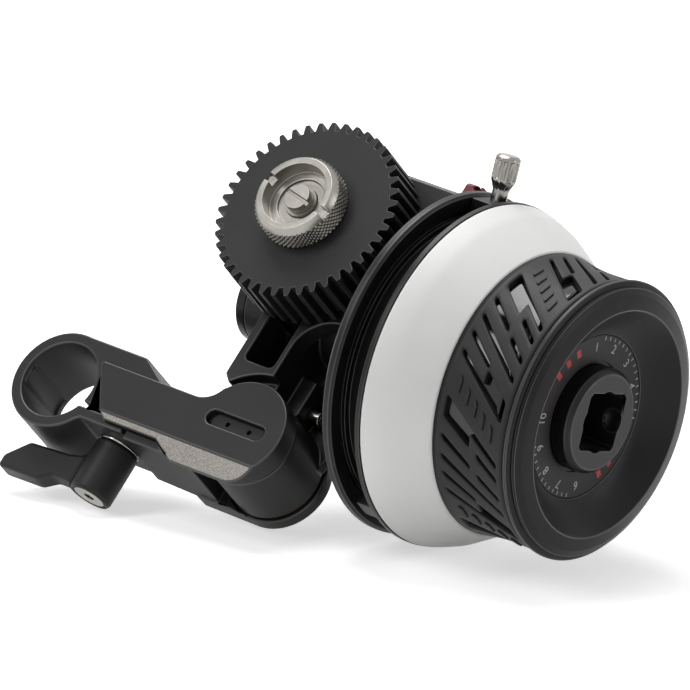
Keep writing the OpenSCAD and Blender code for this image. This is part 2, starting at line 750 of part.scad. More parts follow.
module drive_gear() {
    color("#1f1f20") difference() {
        translate([gear_x, gear_y1, gear_z]) rotate([90, 0, 0]) linear_extrude(gear_width)
            gear_outline(gear_teeth, gear_module * gear_teeth / 2, gear_module, 1.1 * gear_module, 0.3, 0.5, 81.1);
        y_cylinder(5.5, gear_y0 - cut, gear_y1 + cut, gear_x, gear_z);
        y_cylinder(7.5, gear_y1 - 1.2, gear_y1 + cut, gear_x, gear_z);
    }
}

// Hand nut with a cupped face and two spanner notches.
module gear_nut() {
    slot_angle = 11.3;
    color("silver") difference() {
        union() {
            y_cylinder(nut_r, nut_y0 + 1.4, gear_y0 - 0.1, gear_x, gear_z);
            translate([gear_x, nut_y0, gear_z]) rotate([-90, 0, 0]) cylinder(r1 = nut_r - 0.8, r2 = nut_r, h = 1.4);
        }
        y_cylinder(nut_r - 2, nut_y0 - cut, nut_y0 + 3, gear_x, gear_z);
        y_cylinder(nut_r - 3.6, nut_y0, nut_y0 + 3.6, gear_x, gear_z);
        y_cylinder(shaft_r + fit, nut_y0, gear_y0 + cut, gear_x, gear_z);
        translate([gear_x, nut_y0, gear_z]) rotate([0, slot_angle, 0])
            translate([-nut_r - cut, -cut, -0.8]) cube([2 * nut_r + 2 * cut, 2.6, 1.6]);
    }
}

// Slotted screw in the end of the gear shaft, seen inside the nut.
module gear_end_screw() {
    slot_angle = 11.3;
    y1 = nut_y0 + 3;
    color("silver") difference() {
        y_cylinder(2.5, y1 - 1.9, y1, gear_x, gear_z);
        translate([gear_x, y1 - 1.9, gear_z]) rotate([0, slot_angle, 0]) translate([-4, -cut, -0.4]) cube([8, cut + 0.9, 0.8]);
    }
}

// ---- stop drum and knob ---------------------------------------------------------------------

// Turned drum, fixed to the gearbox: rim, channel floor and the lip in front of it.
module stop_drum() {
    color("#2a2a2c") difference() {
        knob_turning([
            [shaft_r + 1, drum_x], [drum_r - 8, drum_x], [drum_r - 6, rim_x1 - drum_rim_t],
            [drum_r - 0.6, rim_x1 - drum_rim_t], [drum_r, rim_x1 - drum_rim_t + 0.6],
            [drum_r, rim_x1 - 0.5], [drum_r - 0.5, rim_x1],
            [ear_r1, rim_x1], [ear_r1, rim_x1 - ear_t], [ear_r0, rim_x1 - ear_t], [ear_r0, rim_x1],
            [channel_r, rim_x1], [channel_r, drum_front - lip_t], [channel_r + lip_h, drum_front - lip_t],
            [channel_r + lip_h, drum_front], [channel_r - 2, drum_front],
            [channel_r - 2, drum_x + 2.4], [shaft_r + 1, drum_x + 2.4]
        ]);
        for (a = [30 : 120 : 270]) round_knob(a) {
            x_cylinder(1.3, drum_x - cut, drum_x + 3, knob_y + 10.4);
            x_cylinder(2.4, drum_x + 1.2, drum_x + 3, knob_y + 10.4);
        }
    }
}

module stop_drum_screws() {
    color("silver") for (a = [30 : 120 : 270]) round_knob(a) difference() {
        union() {
            x_cylinder(1.25, drum_x - 2.8, drum_x + 1.3, knob_y + 10.4);
            x_cylinder(2.3, drum_x + 1.2, drum_x + 2.3, knob_y + 10.4);
        }
        translate([drum_x + 1.7, knob_y + 10.4, knob_z]) rotate([0, 90, 0]) cylinder(r = 0.9, h = 2, $fn = 6);
    }
}

module knob_shaft() {
    color("silver") x_cylinder(shaft_r, bevel_x0 + 0.8, hub_face - socket_depth - 0.8);
}

module knob_bevel_gear() {
    color("#c9a45a") translate([bevel_x1, knob_y, knob_z]) rotate([0, -90, 0])
        train_bevel(shaft_r, 3.9, 1.6, 180 / bevel_teeth);
}

// Thin black disc between the drum's channel and the white ring.
module channel_plate() {
    color("#1e1e20") difference() {
        x_cylinder(drum_r + 0.1, channel_x1, plate_front);
        x_cylinder(shaft_r, channel_x1 - cut, plate_front + cut);
        for (a = [0 : 120 : 240]) round_knob(a) x_cylinder(1.3, channel_x1 - cut, plate_front + cut, knob_y + 14);
    }
}

module stop_dog() {
    color("silver") round_knob(dog_angle) translate([0, knob_y, knob_z]) rotate([0, 90, 0])
        rotate([0, 0, 90 - dog_half_angle]) rotate_extrude(angle = 2 * dog_half_angle)
        polygon([[ear_r1 + 0.2, rim_x1 + 0.8], [stop_r1 - 0.4, rim_x1 + 0.8], [stop_r1 - 0.4, channel_x1], [ear_r1 + 0.2, channel_x1]]);
}

module marking_ring() {
    color("#e6e5e2") knob_turning([
        [core_r, plate_front], [drum_r - 0.3, plate_front], [drum_r, plate_front + 0.5],
        [drum_r - 0.45, plate_front + 2], [drum_r - 1.4, plate_front + 4.7],
        [marking_front_r + 0.2, marking_front - 0.3], [marking_front_r - 0.2, marking_front],
        [core_r, marking_front]
    ]);
}

// Hollow core that carries the ring, the rubber and the flange.
module grip_core() {
    floor_t = 1.7;
    inner_r = grip_waist_r - rubber_t - 2;
    color("#161618") difference() {
        union() {
            knob_turning(concat(
                [[core_r - floor_t, plate_front], [core_r, plate_front], [core_r, marking_front]],
                grip_curve(rubber_t, 0, core_share, 16),
                [[shaft_r, core_front], [shaft_r, core_front - web_t], [inner_r, core_front - web_t],
                 [inner_r, marking_front + waist_share * grip_w], [core_r - floor_t, marking_front]]
            ));
            for (a = [0 : 120 : 240]) round_knob(a)
                x_cylinder(3, plate_front, core_front - web_t + 0.5, knob_y + 14);
        }
        x_cylinder(hub_r, core_front - web_t - cut, core_front + cut);
        for (a = [0 : 120 : 240]) round_knob(a) x_cylinder(1.25, plate_front - cut, plate_front + 9, knob_y + 14);
        for (a = [60 : 120 : 300]) round_knob(a) x_cylinder(1.25, core_front - web_t - cut, core_front + cut, knob_y + 12.7);
    }
}

module core_screws() {
    color("silver") for (a = [0 : 120 : 240]) round_knob(a) union() {
        x_cylinder(1.25, plate_front - plate_t, plate_front + 8, knob_y + 14);
        x_cylinder(2.3, channel_x1 - 1.1, channel_x1, knob_y + 14);
    }
}

module rubber_grip() {
    color("#2c2c2d") knob_turning(concat(grip_curve(0, 0, 1, 19), grip_curve(rubber_t, 1, 0, 19)));
}

// Front flange: a neck inside the rubber, two rings with a groove between them, a rim and a bowl.
module knob_flange() {
    bowl_steps = 8;
    bowl_curve = [for (i = [0 : bowl_steps]) let (share = 1 - i / bowl_steps)
        [dial_r + 0.1 + (bowl_r - dial_r - 0.1) * share, dial_x + 0.1 + (flange_front - dial_x - 0.1) * pow(share, 1.35)]];
    color("#232325") difference() {
        knob_turning(concat(
            [[hub_gap_r - 1, core_front]],
            grip_curve(rubber_t, core_share, 1, 3),
            [[flange_r - 0.4, grip_front], [flange_r, grip_front + 0.5], [flange_r, grip_front + 1],
             [flange_r - 0.6, grip_front + 1.4], [flange_r - 1.3, grip_front + 1.5],
             [flange_r - 1.3, grip_front + 1.8], [flange_r - 1, grip_front + 1.9],
             [flange_r - 1.1, grip_front + 2.1], [flange_r - 2.2, flange_front - 0.8],
             [flange_r - 2.5, flange_front - 0.6]],
            bowl_curve,
            [[dial_r + 0.1, dial_x - 0.4], [hub_gap_r - 1, dial_x - 0.4]]
        ));
        for (a = [60 : 120 : 300]) round_knob(a)
            x_cylinder(1.3, core_front - cut, dial_x, knob_y + 12.7);
    }
}

module flange_screws() {
    color("silver") for (a = [60 : 120 : 300]) round_knob(a)
        x_cylinder(1.25, core_front - web_t, dial_x - 0.4, knob_y + 12.7);
}

module dial_ring() {
    color("#3a3a3c") difference() {
        x_cylinder(dial_r, dial_x - 0.4, dial_x);
        x_cylinder(hub_gap_r - 0.3, dial_x - cut, dial_x + cut);
    }
}

// Hub with the square accessory socket, which takes a crank or a drive whip.
module hub_socket() {
    x0 = hub_face - socket_depth - 3.8;
    color("#1d1d1f") difference() {
        knob_turning([
            [0, x0], [hub_r, x0], [hub_r, dial_x - 0.4], [hub_r + 0.9, dial_x], [hub_r + 0.9, hub_face - 1],
            [hub_r, hub_face], [0, hub_face]
        ]);
        x_cylinder(shaft_r, x0 - cut, hub_face - socket_depth);
        translate([hub_face - socket_depth, knob_y, knob_z]) rotate([socket_angle, 0, 0]) intersection() {
            translate([0, -socket_w / 2, -socket_w / 2]) cube([socket_depth + cut, socket_w, socket_w]);
            rotate([0, 90, 0]) cylinder(r = 0.66 * socket_w, h = socket_depth + cut);
        }
        // detent pockets in the middle of the socket's sides, open at its mouth
        translate([hub_face - detent_depth, knob_y, knob_z])
            for (a = [0 : 90 : 270]) rotate([socket_angle + a, 0, 0])
                translate([0, socket_w / 2 + detent_reach - detent_r, 0]) sphere(r = detent_r);
    }
}

// ---- hard stops -----------------------------------------------------------------------------

// Block that slides round the drum's channel; its ear hooks into the rim's groove.
module stop_block(angle) {
    color("#333335") round_knob(angle) difference() {
        translate([0, knob_y, knob_z]) rotate([0, 90, 0]) rotate([0, 0, 90 - stop_half_angle])
            rotate_extrude(angle = 2 * stop_half_angle) polygon([
                [channel_r + slip, rim_x1 + slip], [ear_r0 + slip, rim_x1 + slip],
                [ear_r0 + slip, rim_x1 - ear_t + slip], [ear_r1 - slip, rim_x1 - ear_t + slip],
                [ear_r1 - slip, rim_x1 + slip], [stop_r1, rim_x1 + slip], [stop_r1, channel_x1 - 0.5],
                [channel_r + lip_h + slip, channel_x1 - 0.5],
                [channel_r + lip_h + slip, drum_front - lip_t - slip], [channel_r + slip, drum_front - lip_t - slip]
            ]);
        y_cylinder(stop_screw_r + fit, knob_y + channel_r - cut, knob_y + drum_r + cut, stop_x, knob_z);
    }
}

// Thumbscrew that clamps a stop to the drum, pointing away from the knob's axis.
module stop_screw(angle) {
    y0 = knob_y + thumb_r0;
    y1 = y0 + thumb_h;
    flutes = 12;
    color("silver") round_knob(angle) difference() {
        union() {
            y_cylinder(stop_screw_r, knob_y + channel_r + slip, y0, stop_x, knob_z);
            translate([stop_x, y0 - 1, knob_z]) rotate([-90, 0, 0]) cylinder(r1 = stop_screw_r, r2 = thumb_r, h = 1.8);
            y_cylinder(thumb_r, y0 + 0.8, y1 - 0.5, stop_x, knob_z);
            translate([stop_x, y1 - 0.5, knob_z]) rotate([-90, 0, 0]) cylinder(r1 = thumb_r, r2 = thumb_r - 0.5, h = 0.5);
        }
        for (i = [0 : flutes - 1]) translate([stop_x, y0 + 1.2, knob_z]) rotate([0, i * 360 / flutes, 0])
            translate([thumb_r + 0.1, 0, 0]) rotate([-90, 0, 0]) cylinder(r = 0.4, h = thumb_h - 2.2);
    }
}

module stop_block_a() { stop_block(stop_a_angle); }
module stop_block_b() { stop_block(stop_b_angle); }
module stop_screw_a() { stop_screw(stop_a_angle); }
module stop_screw_b() { stop_screw(stop_b_angle); }

// ---- one line per node ----------------------------------------------------------------------

arm_body();
arm_front_plate();
arm_slot_insert();
arm_plate_screws();
hinge_pin();
hinge_washers();
hinge_screw();
hinge_screw_washer();
clamp_washer();
clamp_screw();
clamp_lever();
lever_cap_screw();
gearbox_case();
gearbox_rear_cover();
rear_cover_screws();
barrel_cap();
hinge_lock_screw();
index_pointer();
idler_bushes();
gear_shaft_bushes();
knob_bearings();
bearing_spacer();
stop_drum();
stop_drum_screws();
idler_shaft();
idler_spur_gear();
idler_bevel_gear();
gear_shaft();
output_spur_gear();
gear_hub();
drive_gear();
gear_nut();
gear_end_screw();
knob_shaft();
knob_bevel_gear();
channel_plate();
stop_dog();
marking_ring();
grip_core();
rubber_grip();
knob_flange();
flange_screws();
core_screws();
dial_ring();
hub_socket();
stop_block_a();
stop_block_b();
stop_screw_a();
stop_screw_b();
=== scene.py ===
"""Looks of a follow focus unit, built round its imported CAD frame.

The CAD frame gives every piece its shape and place. Here its visible parts get rounded edges and
their finishes, and what the CAD model keeps plain is made in full: the slotted rubber grip, the
knurl of the hand nut and the marks of the dial. Lengths are in millimetres until they become
vertices, which are in metres.
"""
from __future__ import annotations

import json
import logging
import math
from dataclasses import dataclass, field
from enum import Enum
from typing import Any, Iterable, Sequence

import bmesh
import bpy
from mathutils import Euler, Matrix, Vector
from mathutils.geometry import delaunay_2d_cdt


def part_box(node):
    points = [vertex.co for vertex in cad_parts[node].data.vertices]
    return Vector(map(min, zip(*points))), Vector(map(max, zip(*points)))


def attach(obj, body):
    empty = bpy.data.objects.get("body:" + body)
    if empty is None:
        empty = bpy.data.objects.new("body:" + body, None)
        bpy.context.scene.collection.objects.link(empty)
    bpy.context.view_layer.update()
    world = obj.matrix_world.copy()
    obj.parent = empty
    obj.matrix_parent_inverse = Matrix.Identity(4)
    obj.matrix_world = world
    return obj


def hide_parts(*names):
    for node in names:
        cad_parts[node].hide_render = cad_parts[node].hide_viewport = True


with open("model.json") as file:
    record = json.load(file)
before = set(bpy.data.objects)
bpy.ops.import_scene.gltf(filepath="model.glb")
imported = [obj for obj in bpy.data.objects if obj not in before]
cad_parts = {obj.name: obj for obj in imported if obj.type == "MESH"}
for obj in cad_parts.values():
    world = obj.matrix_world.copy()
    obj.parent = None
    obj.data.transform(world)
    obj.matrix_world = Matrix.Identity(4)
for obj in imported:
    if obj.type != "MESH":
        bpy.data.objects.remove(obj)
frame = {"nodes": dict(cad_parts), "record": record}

LOG = logging.getLogger("follow_focus")
MM = 0.001
Colour = tuple[float, float, float]
Point = tuple[float, float, float]
Flat = tuple[float, float]


# ---- node trees -------------------------------------------------------------------------------

@dataclass(frozen=True)
class Signal:
    """An output socket that takes part in Python arithmetic, one Math node for each operation."""

    sheet: "NodeSheet"
    socket: bpy.types.NodeSocket

    def _math(self, operation: str, *operands: Any) -> "Signal":
        """Adds one Math node.

        Args:
            operation: The node's operation.
            operands: Its inputs, as signals or numbers.

        Returns:
            The node's output.
        """
        return self.sheet.node("ShaderNodeMath", {"operation": operation}, dict(enumerate(operands)))

    def __add__(self, other: Any) -> "Signal":
        """Sum with a signal or a number."""
        return self._math("ADD", self, other)

    __radd__ = __add__

    def __sub__(self, other: Any) -> "Signal":
        """Difference to a signal or a number."""
        return self._math("SUBTRACT", self, other)

    def __rsub__(self, other: Any) -> "Signal":
        """A number less this signal."""
        return self._math("SUBTRACT", other, self)

    def __mul__(self, other: Any) -> "Signal":
        """Product with a signal or a number."""
        return self._math("MULTIPLY", self, other)

    __rmul__ = __mul__

    def __truediv__(self, other: Any) -> "Signal":
        """Quotient by a signal or a number."""
        return self._math("DIVIDE", self, other)

    def __mod__(self, other: Any) -> "Signal":
        """Remainder, never negative."""
        return self._math("FLOORED_MODULO", self, other)

    def whole(self) -> "Signal":
        """The signal rounded down."""
        return self._math("FLOOR", self)

    def above(self, low: float, high: float) -> "Signal":
        """0 below low, 1 above high and a straight ramp between them."""
        inputs = {"Value": self, "From Min": low, "From Max": high}
        return self.sheet.node("ShaderNodeMapRange", {"clamp": True}, inputs)


class NodeSheet:
    """A node tree and the one method that adds nodes to it."""

    def __init__(self, tree: bpy.types.NodeTree) -> None:
        """Wraps a tree."""
        self.tree = tree

    def node(self, kind: str, settings: dict[str, Any] | None = None,
             inputs: dict[Any, Any] | None = None, output: Any = 0) -> Signal:
        """Adds a node.

        Args:
            kind: The node's type.
            settings: Its properties, which are set first.
            inputs: Values or signals by socket name or number.
            output: The output wanted, by name or number.

        Returns:
            That output.
        """
        made = self.tree.nodes.new(kind)
        for name, value in (settings or {}).items():
            setattr(made, name, value)
        for key, value in (inputs or {}).items():
            self.feed(made.inputs[key], value)
        return Signal(self, made.outputs[output])

    def feed(self, socket: bpy.types.NodeSocket, value: Any) -> None:
        """Links a signal to a socket, or sets the socket's own value."""
        if isinstance(value, Signal):
            self.tree.links.new(value.socket, socket)
        else:
            socket.default_value = value


class Recipe(NodeSheet):
    """A material's node tree, read in millimetres of the object's own place."""

    def __init__(self, name: str, roughness: float, metallic: float = 0.0, shine: float = 0.5) -> None:
        """Starts a material.

        Args:
            name: The material's name.
            roughness: Its plain roughness.
            metallic: 1 for bare metal, 0 for anything else.
            shine: The level of the mirror-like reflection, 0.5 as usual.
        """
        self.material = bpy.data.materials.new(name)
        self.material.use_nodes = True
        super().__init__(self.material.node_tree)
        self.surface = next(n for n in self.tree.nodes if n.type == "BSDF_PRINCIPLED")
        self.surface.inputs["Roughness"].default_value = roughness
        self.surface.inputs["Metallic"].default_value = metallic
        self.surface.inputs["Specular IOR Level"].default_value = shine
        coordinates = self.node("ShaderNodeTexCoord", output="Object")
        self.place = self.vector("MULTIPLY", coordinates, (1 / MM,) * 3)

    def vector(self, operation: str, *operands: Any, output: Any = 0) -> Signal:
        """Adds one Vector Math node on signals or triples."""
        return self.node("ShaderNodeVectorMath", {"operation": operation}, dict(enumerate(operands)), output)

    def noise(self, per_mm: float, detail: float = 2.0, place: Signal | None = None) -> Signal:
        """Noise of a grain, from about 0.2 to 0.8.

        Args:
            per_mm: Grains to the millimetre.
            detail: Octaves of finer grain.
            place: Where it is read, on the object's own place unless given.

        Returns:
            The noise.
        """
        inputs = {"Vector": place or self.place, "Scale": per_mm, "Detail": detail}
        return self.node("ShaderNodeTexNoise", {}, inputs)

    def radius(self, centre: Point, across: Point) -> Signal:
        """Distance in mm from a line through centre, where across blanks the line's own axis."""
        offset = self.vector("SUBTRACT", self.place, centre)
        return self.vector("LENGTH", self.vector("MULTIPLY", offset, across), output="Value")

    def blend(self, factor: Signal, first: Any, second: Any) -> Signal:
        """Colour between two colours."""
        first, second = ((*c, 1.0) if isinstance(c, tuple) else c for c in (first, second))
        return self.node("ShaderNodeMix", {"data_type": "RGBA"}, {0: factor, 6: first, 7: second}, 2)

    def paint(self, colour: Any) -> None:
        """Sets the base colour."""
        self.feed(self.surface.inputs["Base Color"], (*colour, 1.0) if isinstance(colour, tuple) else colour)

    def gloss(self, roughness: Signal) -> None:
        """Sets a roughness that varies over the surface."""
        self.feed(self.surface.inputs["Roughness"], roughness)

    def relief(self, height: Signal, depth_mm: float) -> None:
        """Sets a fine relief, which is depth_mm deep where height goes from 0 to 1."""
        inputs = {"Height": height, "Distance": depth_mm * MM, "Strength": 1.0}
        self.feed(self.surface.inputs["Normal"], self.node("ShaderNodeBump", {}, inputs))


def shade(colour: Colour, share: float) -> Colour:
    """A colour made lighter or darker."""
    return tuple(min(1.0, c * share) for c in colour)


# ---- finishes ---------------------------------------------------------------------------------

@dataclass(frozen=True)
class BlastedFinish:
    """A fine bead-blasted or moulded surface with a cloudy tone and a grain, and on request lighter flecks
    that are painted glints.
    """

    name: str
    colour: Colour
    roughness: float
    grain_per_mm: float = 3.0
    grain_mm: float = 0.012
    metallic: float = 0.0
    shine: float = 0.5
    cloud: float = 0.18
    # How much lighter the painted glints are, 0 for none.
    painted_glint: float = 0.0

    def make(self) -> bpy.types.Material:
        """Builds the material."""
        recipe = Recipe(self.name, self.roughness, self.metallic, self.shine)
        cloud = recipe.noise(0.12, 3.0)
        grain = recipe.noise(self.grain_per_mm, 2.0)
        tone = recipe.blend(cloud.above(0.3, 0.7), shade(self.colour, 1 - self.cloud),
                            shade(self.colour, 1 + self.cloud))
        # Painted glints: lighter flecks where the grain is high stand in for the sparkle of blasted metal.
        if self.painted_glint:
            glint_mask = grain.above(0.42, 0.66)
            tone = recipe.blend(glint_mask, tone, shade(self.colour, 1 + self.painted_glint))
        recipe.paint(tone)
        recipe.gloss(grain * 0.16 + (self.roughness - 0.08) + cloud * 0.06)
        recipe.relief(grain, self.grain_mm)
        return recipe.material


@dataclass(frozen=True)
class TurnedFinish:
    """Steel turned on a lathe, with rings of tool marks whose relief spreads its highlights."""

    name: str
    colour: Colour
    roughness: float
    centre: Point
    across: Point
    rings_per_mm: float = 1.4
    ring_mm: float = 0.02

    def make(self) -> bpy.types.Material:
        """Builds the material."""
        recipe = Recipe(self.name, self.roughness, metallic=1.0)
        radius = recipe.radius(self.centre, self.across)
        rings = recipe.node("ShaderNodeTexNoise", {"noise_dimensions": "1D"},
                            {"W": radius, "Scale": self.rings_per_mm, "Detail": 2.0})
        smear = recipe.noise(0.35, 2.0)
        worn = recipe.blend(smear.above(0.35, 0.7), shade(self.colour, 0.72), self.colour)
        recipe.paint(recipe.blend(rings.above(0.35, 0.65), shade(self.colour, 0.8), worn))
        recipe.gloss(smear * 0.1 + (self.roughness - 0.05))
        recipe.relief(rings, self.ring_mm)
        return recipe.material


@dataclass(frozen=True)
class RubberFinish:
    """Soft matt rubber with a skin of fine pores and a little dust."""

    name: str
    colour: Colour
    roughness: float
    shine: float = 0.28
    pores_per_mm: float = 5.0
    pore_mm: float = 0.012

    def make(self) -> bpy.types.Material:
        """Builds the material."""
        recipe = Recipe(self.name, self.roughness, shine=self.shine)
        pores = recipe.noise(self.pores_per_mm, 2.0)
        dust = recipe.noise(0.25, 4.0)
        recipe.paint(recipe.blend(dust.above(0.45, 0.8), self.colour, shade(self.colour, 1.45)))
        recipe.gloss(dust * 0.14 + (self.roughness - 0.07))
        recipe.relief(pores, self.pore_mm)
        return recipe.material


@dataclass(frozen=True)
class GlossFinish:
    """Gloss moulding, whose mirror wavers a little as moulded plastic does."""

    name: str
    colour: Colour
    roughness: float
    waves_per_mm: float = 0.16
    wave_mm: float = 0.06

    def make(self) -> bpy.types.Material:
        """Builds the material."""
        recipe = Recipe(self.name, self.roughness)
        wave = recipe.noise(self.waves_per_mm, 1.0)
        scuff = recipe.noise(1.2, 4.0)
        recipe.paint(recipe.blend(scuff.above(0.4, 0.8), self.colour, shade(self.colour, 1.5)))
        recipe.gloss(scuff * 0.08 + self.roughness)
        recipe.relief(wave, self.wave_mm)
        return recipe.material


GEAR_AXIS_MM: Point = (35.9, 0.0, 42.8)
ROUND_Y: Point = (1.0, 0.0, 1.0)


class Finish(Enum):
    """The finishes of the unit's surfaces. Each value says how its material is made."""

    ANODISED = BlastedFinish("black_anodised", (0.0085, 0.0086, 0.0092), 0.44, shine=0.26)
    # Lighter colour for the bevelled edges of black parts: partly edge wear, partly painted highlight.
    ANODISED_EDGE_WEAR_AND_HIGHLIGHT = BlastedFinish("black_anodised_edge_wear_and_highlight", (0.026, 0.025, 0.024), 0.32, grain_mm=0.004)
    TURNED_BLACK = BlastedFinish("black_anodised_turned", (0.0068, 0.0069, 0.0074), 0.34, 4.5, 0.014,
                                 shine=0.25)
    # Darker copy of the black anodise, for the knob's flange: painted shade that darkens its bowl.
    FLANGE_SHADED_BLACK = BlastedFinish("black_anodised_flange_shaded", (0.0045, 0.0045, 0.0049), 0.36, 4.5, 0.022,
                                 shine=0.2)
    # Bare blasted metal; its lighter flecks are painted glints.
    BARE_FACET = BlastedFinish("bare_blasted_facet", (0.20, 0.188, 0.172), 0.5, 4.5, 0.03, metallic=0.8,
                               cloud=0.1, painted_glint=0.9)
    ACETAL = BlastedFinish("black_acetal", (0.0125, 0.0125, 0.0132), 0.5, 2.5, 0.01, shine=0.26)
    # Lighter colour for the gear's bevelled tooth edges: painted highlight.
    ACETAL_EDGE_HIGHLIGHT = BlastedFinish("black_acetal_edge_highlight", (0.028, 0.028, 0.029), 0.4, 2.5, 0.004)
    RUBBER = RubberFinish("grip_rubber", (0.0105, 0.0105, 0.0112), 0.52)
    GLOSS = GlossFinish("gloss_black", (0.006, 0.006, 0.0065), 0.05)
    WHITE = BlastedFinish("white_marking_plastic", (0.80, 0.80, 0.785), 0.44, 4.0, 0.004, cloud=0.012)
    DIAL = BlastedFinish("dial_grey", (0.026, 0.023, 0.0235), 0.55, 5.0, 0.006, shine=0.25)
    DIAL_INK = BlastedFinish("dial_ink_grey", (0.42, 0.42, 0.42), 0.5, 6.0, 0.002)
    DIAL_RED = BlastedFinish("dial_ink_red", (0.42, 0.028, 0.03), 0.5, 6.0, 0.002)
    RED = BlastedFinish("red_anodised", (0.115, 0.012, 0.017), 0.42, 4.0, 0.01, metallic=0.3)
    NUT_STEEL = TurnedFinish("turned_nut_steel", (0.37, 0.355, 0.325), 0.33, GEAR_AXIS_MM, ROUND_Y)
    # Darker copy of the steel for the knurl: painted shade of its grooves.
    KNURL_SHADED_STEEL = BlastedFinish("knurled_steel_shaded", (0.145, 0.138, 0.125), 0.22, 3.0, 0.008, metallic=1.0,
                                cloud=0.3)
    STEEL = BlastedFinish("bright_steel", (0.34, 0.325, 0.30), 0.17, 1.2, 0.004, metallic=1.0, cloud=0.3)
    DARK_STEEL = BlastedFinish("black_oxide_steel", (0.035, 0.034, 0.034), 0.4, 3.0, 0.006, metallic=0.5)
    BRONZE = BlastedFinish("bronze", (0.13, 0.08, 0.04), 0.4, 2.0, 0.006, metallic=1.0)


class FinishRack:
    """Makes each finish's material once."""

    def __init__(self) -> None:
        """Starts with no material made."""
        self._made: dict[Finish, bpy.types.Material] = {}

    def take(self, finish: Finish) -> bpy.types.Material:
        """The material of a finish."""
        if finish not in self._made:
            self._made[finish] = finish.value.make()
        return self._made[finish]


# ---- bench work -------------------------------------------------------------------------------

@dataclass(frozen=True)
class Trim:
    """How a CAD node is finished: its edge's width and its two finishes."""

    node: str
    finish: Finish
    edge_mm: float = 0.2
    edge_finish: Finish | None = None
    edge_steps: int = 2
    sharper_than_deg: float = 28.0
    facets: tuple[tuple[Point, Finish], ...] = ()


class Bench:
    """The tools that turn CAD nodes and plain vertex lists into finished pieces."""

    WELD_M = 2e-6
    CAD_WELD_M = 3e-5
    FLAT_DEG = 0.5
    FACET_DEG = 2.0

    def __init__(self, rack: FinishRack) -> None:
        """Keeps the rack of finishes and the names that the frame gives."""
        self.rack = rack
        self.pieces: list[bpy.types.Object] = []
        behaviour = frame["record"]["behaviour"]
        self.body_of = {n: b for b, nodes in behaviour["bodies"].items() for n in nodes}
        self.slot_of = {s["node"]: s["material_slot"] for s in frame["record"]["subparts"]}

    def piece(self, name: str, mesh: bpy.types.Mesh, body: str, slot: str,
              replaces: Sequence[str] = ()) -> bpy.types.Object:
        """Makes a finished mesh a piece that rides on its CAD body.

        Args:
            name: The piece's name.
            mesh: Its mesh, in place.
            body: The CAD body that it rides on.
            slot: The record's material slot; not used.
            replaces: CAD nodes that it stands for.

        Returns:
            The piece.
        """
        made = bpy.data.objects.new(name, mesh)
        bpy.context.scene.collection.objects.link(made)
        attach(made, body)
        if replaces:
            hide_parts(*replaces)
        self.pieces.append(made)
        LOG.info("%s rides on %s, %d faces", name, body, len(mesh.polygons))
        return made

    def mesh(self, name: str, points_mm: Iterable[Point], faces: Iterable[Sequence[int]],
             finishes: Sequence[Finish]) -> bpy.types.Mesh:
        """A smooth mesh from points in millimetres.

        Args:
            name: The mesh's name.
            points_mm: Its vertices.
            faces: Its faces, by vertex number.
            finishes: Its materials in order.

        Returns:
            The mesh, welded and with its faces outwards.
        """
        made = bpy.data.meshes.new(name)
        made.from_pydata([tuple(c * MM for c in p) for p in points_mm], [], list(faces))
        work = bmesh.new()
        work.from_mesh(made)
        bmesh.ops.remove_doubles(work, verts=work.verts, dist=self.WELD_M)
        bmesh.ops.recalc_face_normals(work, faces=work.faces)
        work.to_mesh(made)
        work.free()
        for finish in finishes:
            made.materials.append(self.rack.take(finish))
        made.shade_smooth()
        return made

    def applied(self, made: bpy.types.Object) -> bpy.types.Mesh:
        """The mesh that an object's modifiers make. The object itself is removed."""
        bpy.context.view_layer.update()
        graph = bpy.context.evaluated_depsgraph_get()
        mesh = bpy.data.meshes.new_from_object(made.evaluated_get(graph), depsgraph=graph)
        mesh.name = made.name
        bpy.data.objects.remove(made)
        return mesh

    def soften(self, mesh: bpy.types.Mesh, trim: Trim) -> bpy.types.Mesh:
        """Rounds a mesh's sharp edges and evens its shading.

        Args:
            mesh: A welded mesh, with the edge's finish as its second material.
            trim: The edge's width, steps and least angle.

        Returns:
            The new mesh.
        """
        holder = bpy.data.objects.new(trim.node, mesh)
        bpy.context.scene.collection.objects.link(holder)
        if trim.edge_mm > 0:
            bevel = holder.modifiers.new("edge", "BEVEL")
            bevel.width = trim.edge_mm * MM
            bevel.segments = trim.edge_steps
            bevel.limit_method = "ANGLE"
            bevel.angle_limit = math.radians(trim.sharper_than_deg)
            bevel.use_clamp_overlap = False
            # The bevel's faces take the second material, the edge finish; where that is a lighter edge colour
            # it is painted highlight, on the anodise with edge wear too.
            bevel.material = 1
        shading = holder.modifiers.new("shading", "WEIGHTED_NORMAL")
        shading.weight = 60
        shading.keep_sharp = True
        return self.applied(holder)

    def finish(self, trim: Trim) -> bpy.types.Object:
        """Replaces a CAD node by a copy with rounded edges and its finish."""
        mesh = frame["nodes"][trim.node].data.copy()
        work = bmesh.new()
        work.from_mesh(mesh)
        bmesh.ops.remove_doubles(work, verts=work.verts, dist=self.CAD_WELD_M)
        bmesh.ops.dissolve_limit(work, verts=work.verts, edges=work.edges,
                                 angle_limit=math.radians(self.FLAT_DEG))
        for face in work.faces:
            face.smooth = True
            face.material_index = 0
        work.to_mesh(mesh)
        work.free()
        mesh.materials.clear()
        mesh.materials.append(self.rack.take(trim.finish))
        mesh.materials.append(self.rack.take(trim.edge_finish or trim.finish))
        for number, (normal, finish) in enumerate(trim.facets, start=2):
            mesh.materials.append(self.rack.take(finish))
            along = Vector(normal).normalized()
            for face in mesh.polygons:
                if face.normal.dot(along) > math.cos(math.radians(self.FACET_DEG)):
                    face.material_index = number
        mesh = self.soften(mesh, trim)
        return self.piece(trim.node + "_finished", mesh, self.body_of[trim.node],
                          self.slot_of[trim.node], [trim.node])

    def dress(self, node: str, finish: Finish) -> None:
        """Gives a CAD node that keeps its own shape its finish."""
        kept = frame["nodes"][node]
        kept.data.materials.clear()
        kept.data.materials.append(self.rack.take(finish))


